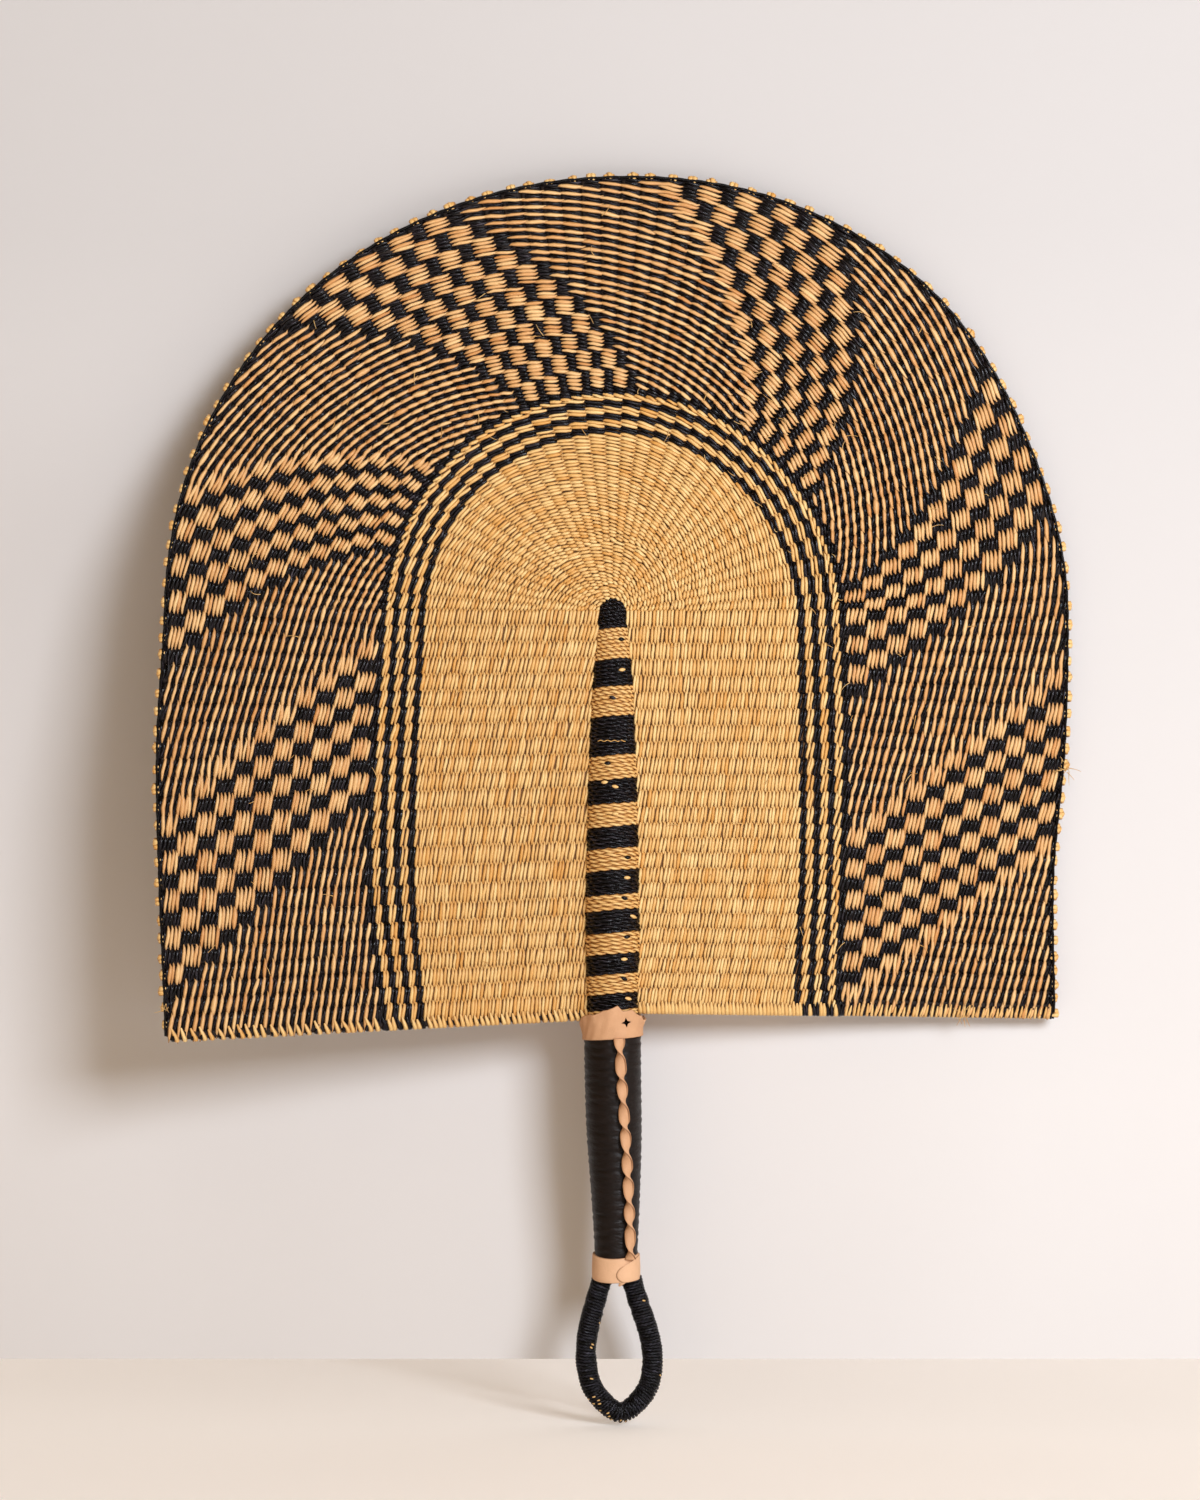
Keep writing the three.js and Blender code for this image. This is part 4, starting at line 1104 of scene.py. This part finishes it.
def collar_ring(height, grow):
    """A ring of the upper collar at that share of its height."""
    crease = 0.42 * height ** 2 * np.sin(9 * angle + 1.2 * np.sin(3 * angle)) \
        + 0.12 * np.sin(17 * angle + 7 * height)
    flare = 1.5 * height ** 2 + 0.35 * (1 - height) ** 2 + crease * 0.7
    z = collar_foot + slope + height * (TOP_COLLAR_HEIGHT + torn - slope)
    half = bundle_half(collar_foot) + GAP + LEATHER + flare + grow
    deep = bundle_depth(collar_foot) + GAP + LEATHER + 0.25 + flare + grow
    return np.stack([half * np.cos(angle), -deep * np.sin(angle), z], -1)


heights = np.concatenate([[0, 0.035], np.linspace(0.1, 0.93, 12), [0.97, 1]])
rings = folded(collar_ring, heights, LEATHER / 3)[::-1]
edges = [0.8] + [0] * (len(heights) - 2) + [0.25]
without_star(add_leather(
    "torn_collar", rings, skin_rings(rings, True), tan_finish,
    np.repeat(edges[::-1] + edges, COLLAR_ROUND), "top_collar"))


# Lower collar: a paler strip of the same leather below the sleeve, lower at the front. Its rounded
# end laps over it and is thick where it was cut, and a small tongue of it hangs below.
FOOT_COLLAR_HEIGHT = 10.8
FOOT_DIP, FOOT_SHIFT = 1.3, 0.45
LAP_START, LAP_SWEEP, LAP_SAG = 0.3, 1.3, 3.4
LAP_OUTSIDE, LAP_INSIDE, LAP_EDGE = 1.2, 0.3, 0.4
LAP_POINTS = 48
TONGUE_SIZE = (1.5, 0.55)
foot_finish = leather_material("tan_leather_foot", (0.66, 0.37, 0.20, 1), (0.88, 0.54, 0.32, 1))
foot_top = SLEEVE_FOOT - GAP + 0.9
foot_end = foot_top - FOOT_COLLAR_HEIGHT - 0.4


def foot_level(t, angle):
    """Height of the lower collar round it, at that share of its way down."""
    dip = FOOT_DIP * (1 - 0.4 * t) * np.clip(np.sin(angle), 0, 1)
    return foot_top + (foot_end - foot_top) * t + 0.25 * np.sin(2 * angle + 0.6) - dip


def foot_swell(t):
    """How far the lower collar stands off the bundle."""
    return GAP + LEATHER - 0.2 + 0.3 * t + 0.25 * math.sin(math.pi * t)


def foot_ring(t, grow):
    return oval_point(angle, foot_level(t, angle), foot_swell(t) + grow) - (FOOT_SHIFT, 0, 0)


steps = np.concatenate([[0, 0.035], np.linspace(0.12, 0.88, 7), [0.965, 1]])
rings = folded(foot_ring, steps, LEATHER / 4)
edges = [0.9] + [0] * (len(steps) - 2) + [0.6]
add_leather("foot_band", rings, skin_rings(rings, True), foot_finish,
            np.repeat(edges + edges[::-1], COLLAR_ROUND), "foot_collar")

radius = (foot_top - foot_end) / 2
share = np.linspace(0, 1, LAP_POINTS) ** 1.5
blunt = 1 - 0.5 * np.exp(-share * 60)
settled = 1.1 - share
rings, cut = [], []
for t, grow in [(t, LAP_OUTSIDE) for t in steps] + [(t, LAP_INSIDE) for t in steps[::-1]]:
    at_edge = t in (0, 1)
    left = LAP_START + 0.8 * radius * (1 - math.sqrt(max(0.0, 1 - (2 * t - 1) ** 2)))
    start = math.acos(left / (bundle_half(foot_top + (foot_end - foot_top) * t) + 2.8))
    sweep = start - (start + LAP_SWEEP) * share
    level = foot_level(t, sweep) - LAP_SAG * (1 - t) * np.exp(-5 * share)
    reach = foot_swell(t) + 0.3 + (grow - (LAP_EDGE if at_edge else 0)) * blunt * settled
    rings.append(oval_point(sweep, level, 0) + away_from(sweep) * reach[:, None]
                 - (FOOT_SHIFT, 0, 0))
    cut.append(np.where(share < 0.004, 1.0, 0.8 if at_edge else 0.0))
count = len(rings)
faces = [(k * LAP_POINTS + i, (k + 1) % count * LAP_POINTS + i,
          (k + 1) % count * LAP_POINTS + i + 1, k * LAP_POINTS + i + 1)
         for k in range(count) for i in range(LAP_POINTS - 1)]
faces += [tuple(k * LAP_POINTS for k in reversed(range(count))),
          tuple((k + 1) * LAP_POINTS - 1 for k in range(count))]
add_leather("lapped_end", rings, faces, foot_finish, cut, "foot_collar")
t = np.linspace(0, 1, 12)
y = -8.6 - 2.0 * t * (1 - t) + 0.4 * t
points = np.stack([5.6 - 2.9 * t, y, foot_end + 1.4 - 3.6 * t], -1)
make_strands("lap_tongue", [strand(points, np.array([0.0, -1.0, 0.3]), girth=1 - 0.75 * t ** 2)],
             *TONGUE_SIZE, 8, foot_finish, "tan_leather")


# Lace: a flat strip of undyed leather with rounded faces and brown cut edges. It is twisted along
# the seam of the sleeve in eight half turns, and its ends are tucked under the two collars.
LACE_TOP_ANGLE, LACE_FOOT_ANGLE = 0.2, 0.54
LACE_OFF, LACE_SHARP = 1.8, 0.8
LACE_FIRST, LACE_LAST, LACE_HALF_TURNS = 42.0, -44.6, 8
LACE_SIDE = [(-2.45, -0.34), (-2.36, 0.22), (-1.95, 0.66), (-1.0, 0.96), (0.0, 1.04), (1.0, 0.92),
             (1.6, 0.70), (1.85, 0.14)]
z = np.linspace(SLEEVE_TOP + 0.8, SLEEVE_FOOT - 1.0, 141)
t = np.linspace(0, 1, len(z))
side = LACE_TOP_ANGLE + (LACE_FOOT_ANGLE - LACE_TOP_ANGLE) * t
off = 2 * GAP + LEATHER + LACE_OFF
points = np.stack([bundle_centre(z) + (bundle_half(z) + off) * np.sin(side),
                   -(bundle_depth(z) + off) * np.cos(side), z], -1)
out = np.stack([np.sin(side), -np.cos(side), 0 * side], -1)
across = np.stack([np.cos(side), np.sin(side), 0 * side], -1)
turn = math.pi * (0.5 + LACE_HALF_TURNS * (LACE_FIRST - z) / (LACE_FIRST - LACE_LAST))
turn = turn + 0.16 * np.sin(t * 31) - 0.22 * np.sin(2 * turn)
width = across * np.cos(turn)[:, None] - out * np.sin(turn)[:, None]
facing = out * np.cos(turn)[:, None] + across * np.sin(turn)[:, None]
profile = np.array(LACE_SIDE + [(-x, -y) for x, y in LACE_SIDE])
rings = [p + w * profile[:, :1] + f * profile[:, 1:] for p, w, f in zip(points, width, facing)]
size = len(profile)
faces = [face[::-1] for face in skin_rings(rings, False)]
last = (len(rings) - 1) * size
faces += [tuple(range(size)), tuple(range(last + size - 1, last - 1, -1))]
cut = np.tile([0.25, 0, 0, 0, 0, 0, 0, 0.9] * 2, len(rings))
lace = add_leather("lace_strip", rings, faces, tan_finish, cut, "twisted_lace")
lace.data.set_sharp_from_angle(angle=LACE_SHARP)


# Hanging loop: a stiff cord, bent round and bound in under the lower collar. It is closely wound
# with two twisted strands of dyed grass, and a few pale fibres show in them.
LOOP_SHAPE = [
    (-4.4, -56.5), (-8.1, -69.3), (-10.3, -78.0), (-11.6, -87.0), (-11.1, -96.5), (-7.9, -106.2),
    (3.6, -115.6), (14.6, -106.2), (17.3, -96.5), (17.1, -87.0), (15.0, -78.0), (12.0, -69.3),
    (8.0, -56.5)]
LOOP_RADIUS = 4.6
LOOP_PITCH = 1.28
LOOP_TWISTS = 7.3
LOOP_TURN_POINTS = 44
LOOP_SUNK = 0.95
WINDING_SIZE, LOOP_FLECK_SIZE = (0.50, 0.42), (0.40, 0.42)
FLECKS_ON_LOOP = [
    (-6.8, -75.6), (-9.8, -85.2), (-9.0, -86.4), (-9.0, -101.2), (-7.3, -108.4), (-10.4, -109.3),
    (-7.0, -109.8), (-6.1, -110.7), (-7.8, -111.7), (-6.1, -113.7), (-2.0, -115.3), (-1.4, -116.4),
    (0.5, -117.5), (3.1, -118.0), (5.2, -119.0), (20.0, -98.0), (14.2, -66.0)]


def between(t, start, end, first, second):
    return (end - t) / (end - start) * first + (t - start) / (end - start) * second


def smooth_line(shape, count):
    """Evenly spaced points on a centripetal curve through the shape's points, and its length."""
    knots = np.array([(x, 0.0, z) for x, z in shape])
    knots = np.concatenate([[2 * knots[0] - knots[1]], knots, [2 * knots[-1] - knots[-2]]])
    pieces = []
    for p0, p1, p2, p3 in zip(knots, knots[1:], knots[2:], knots[3:]):
        t1 = np.linalg.norm(p1 - p0) ** 0.5
        t2 = t1 + np.linalg.norm(p2 - p1) ** 0.5
        t3 = t2 + np.linalg.norm(p3 - p2) ** 0.5
        t = np.linspace(t1, t2, 60, endpoint=False)[:, None]
        middle = between(t, t1, t2, p1, p2)
        early = between(t, 0.0, t2, between(t, 0.0, t1, p0, p1), middle)
        late = between(t, t1, t3, middle, between(t, t2, t3, p2, p3))
        pieces.append(between(t, t1, t2, early, late))
    line = np.concatenate(pieces + [knots[-2:-1]])
    run = run_of(line)
    even = np.linspace(0, run[-1], count)
    return np.stack([np.interp(even, run, line[:, k]) for k in range(3)], -1), run[-1]


core_line, loop_length = smooth_line(LOOP_SHAPE, 80)
turns = int(loop_length / LOOP_PITCH)
middle, _ = smooth_line(LOOP_SHAPE, turns * LOOP_TURN_POINTS + 1)
tangent = np.gradient(middle, axis=0)
tangent /= np.linalg.norm(tangent, axis=1, keepdims=True)
side = np.cross(tangent, np.array([0.0, 1.0, 0.0]))
angle = np.linspace(0, 2 * math.pi * turns, len(middle))
around = side * np.cos(angle)[:, None] + np.array([0.0, 1.0, 0.0]) * np.sin(angle)[:, None]
wobble = drift((1, len(middle)), LOOP_TURN_POINTS, 0.13)[0]
winding = []
for part in (0, math.pi):
    twist = LOOP_TWISTS * angle + part
    points = middle + around * (LOOP_RADIUS - 0.55 + wobble + 0.2 * np.cos(twist))[:, None] \
        + tangent * (0.25 * np.cos(angle) + 0.30 * np.sin(twist))[:, None]
    winding.append(strand(points, around, lift=np.clip(0.6 + 0.6 * np.cos(twist), 0, 1),
                          tone=0.5 + drift((1, len(middle)), 9, 0.25)[0]))
# Its second colour is a painted highlight, brighter than the other dyed grass's.
loop_finish = dyed_material("dyed_winding", (0.0004, 0.0002, 0.0004, 1), (0.11, 0.105, 0.14, 1))
make_strands("loop_winding", winding, *WINDING_SIZE, 5, loop_finish, "dyed_weft",
             ["loop_wrapping"])
flecks_on_loop = []
points = winding[0]["points"]
for x, z in FLECKS_ON_LOOP:
    near = int(np.argmin((points[:, 0] - x) ** 2 + (points[:, 2] - z) ** 2
                         + (points[:, 1] > -1.5) * 99 - 2 * np.cos(LOOP_TWISTS * angle)))
    part = slice(near - 2, near + 3)
    lifted = points[part] + around[part] * 0.1
    flecks_on_loop.append(strand(lifted, around[part], x, tone=0.6,
                                 girth=np.array([0.2, 0.8, 1, 0.7, 0.2])))
make_strands("loop_flecks", flecks_on_loop, *LOOP_FLECK_SIZE, 6, straw_finish, "straw_weft")
padding = {"points": core_line, "face": FRONT + 0 * core_line, "tone": 0.2}
make_strands("loop_padding", [padding], LOOP_RADIUS - LOOP_SUNK, LOOP_RADIUS - LOOP_SUNK, 12,
             dyed_finish, "dyed_weft", ["loop_wrapping"])
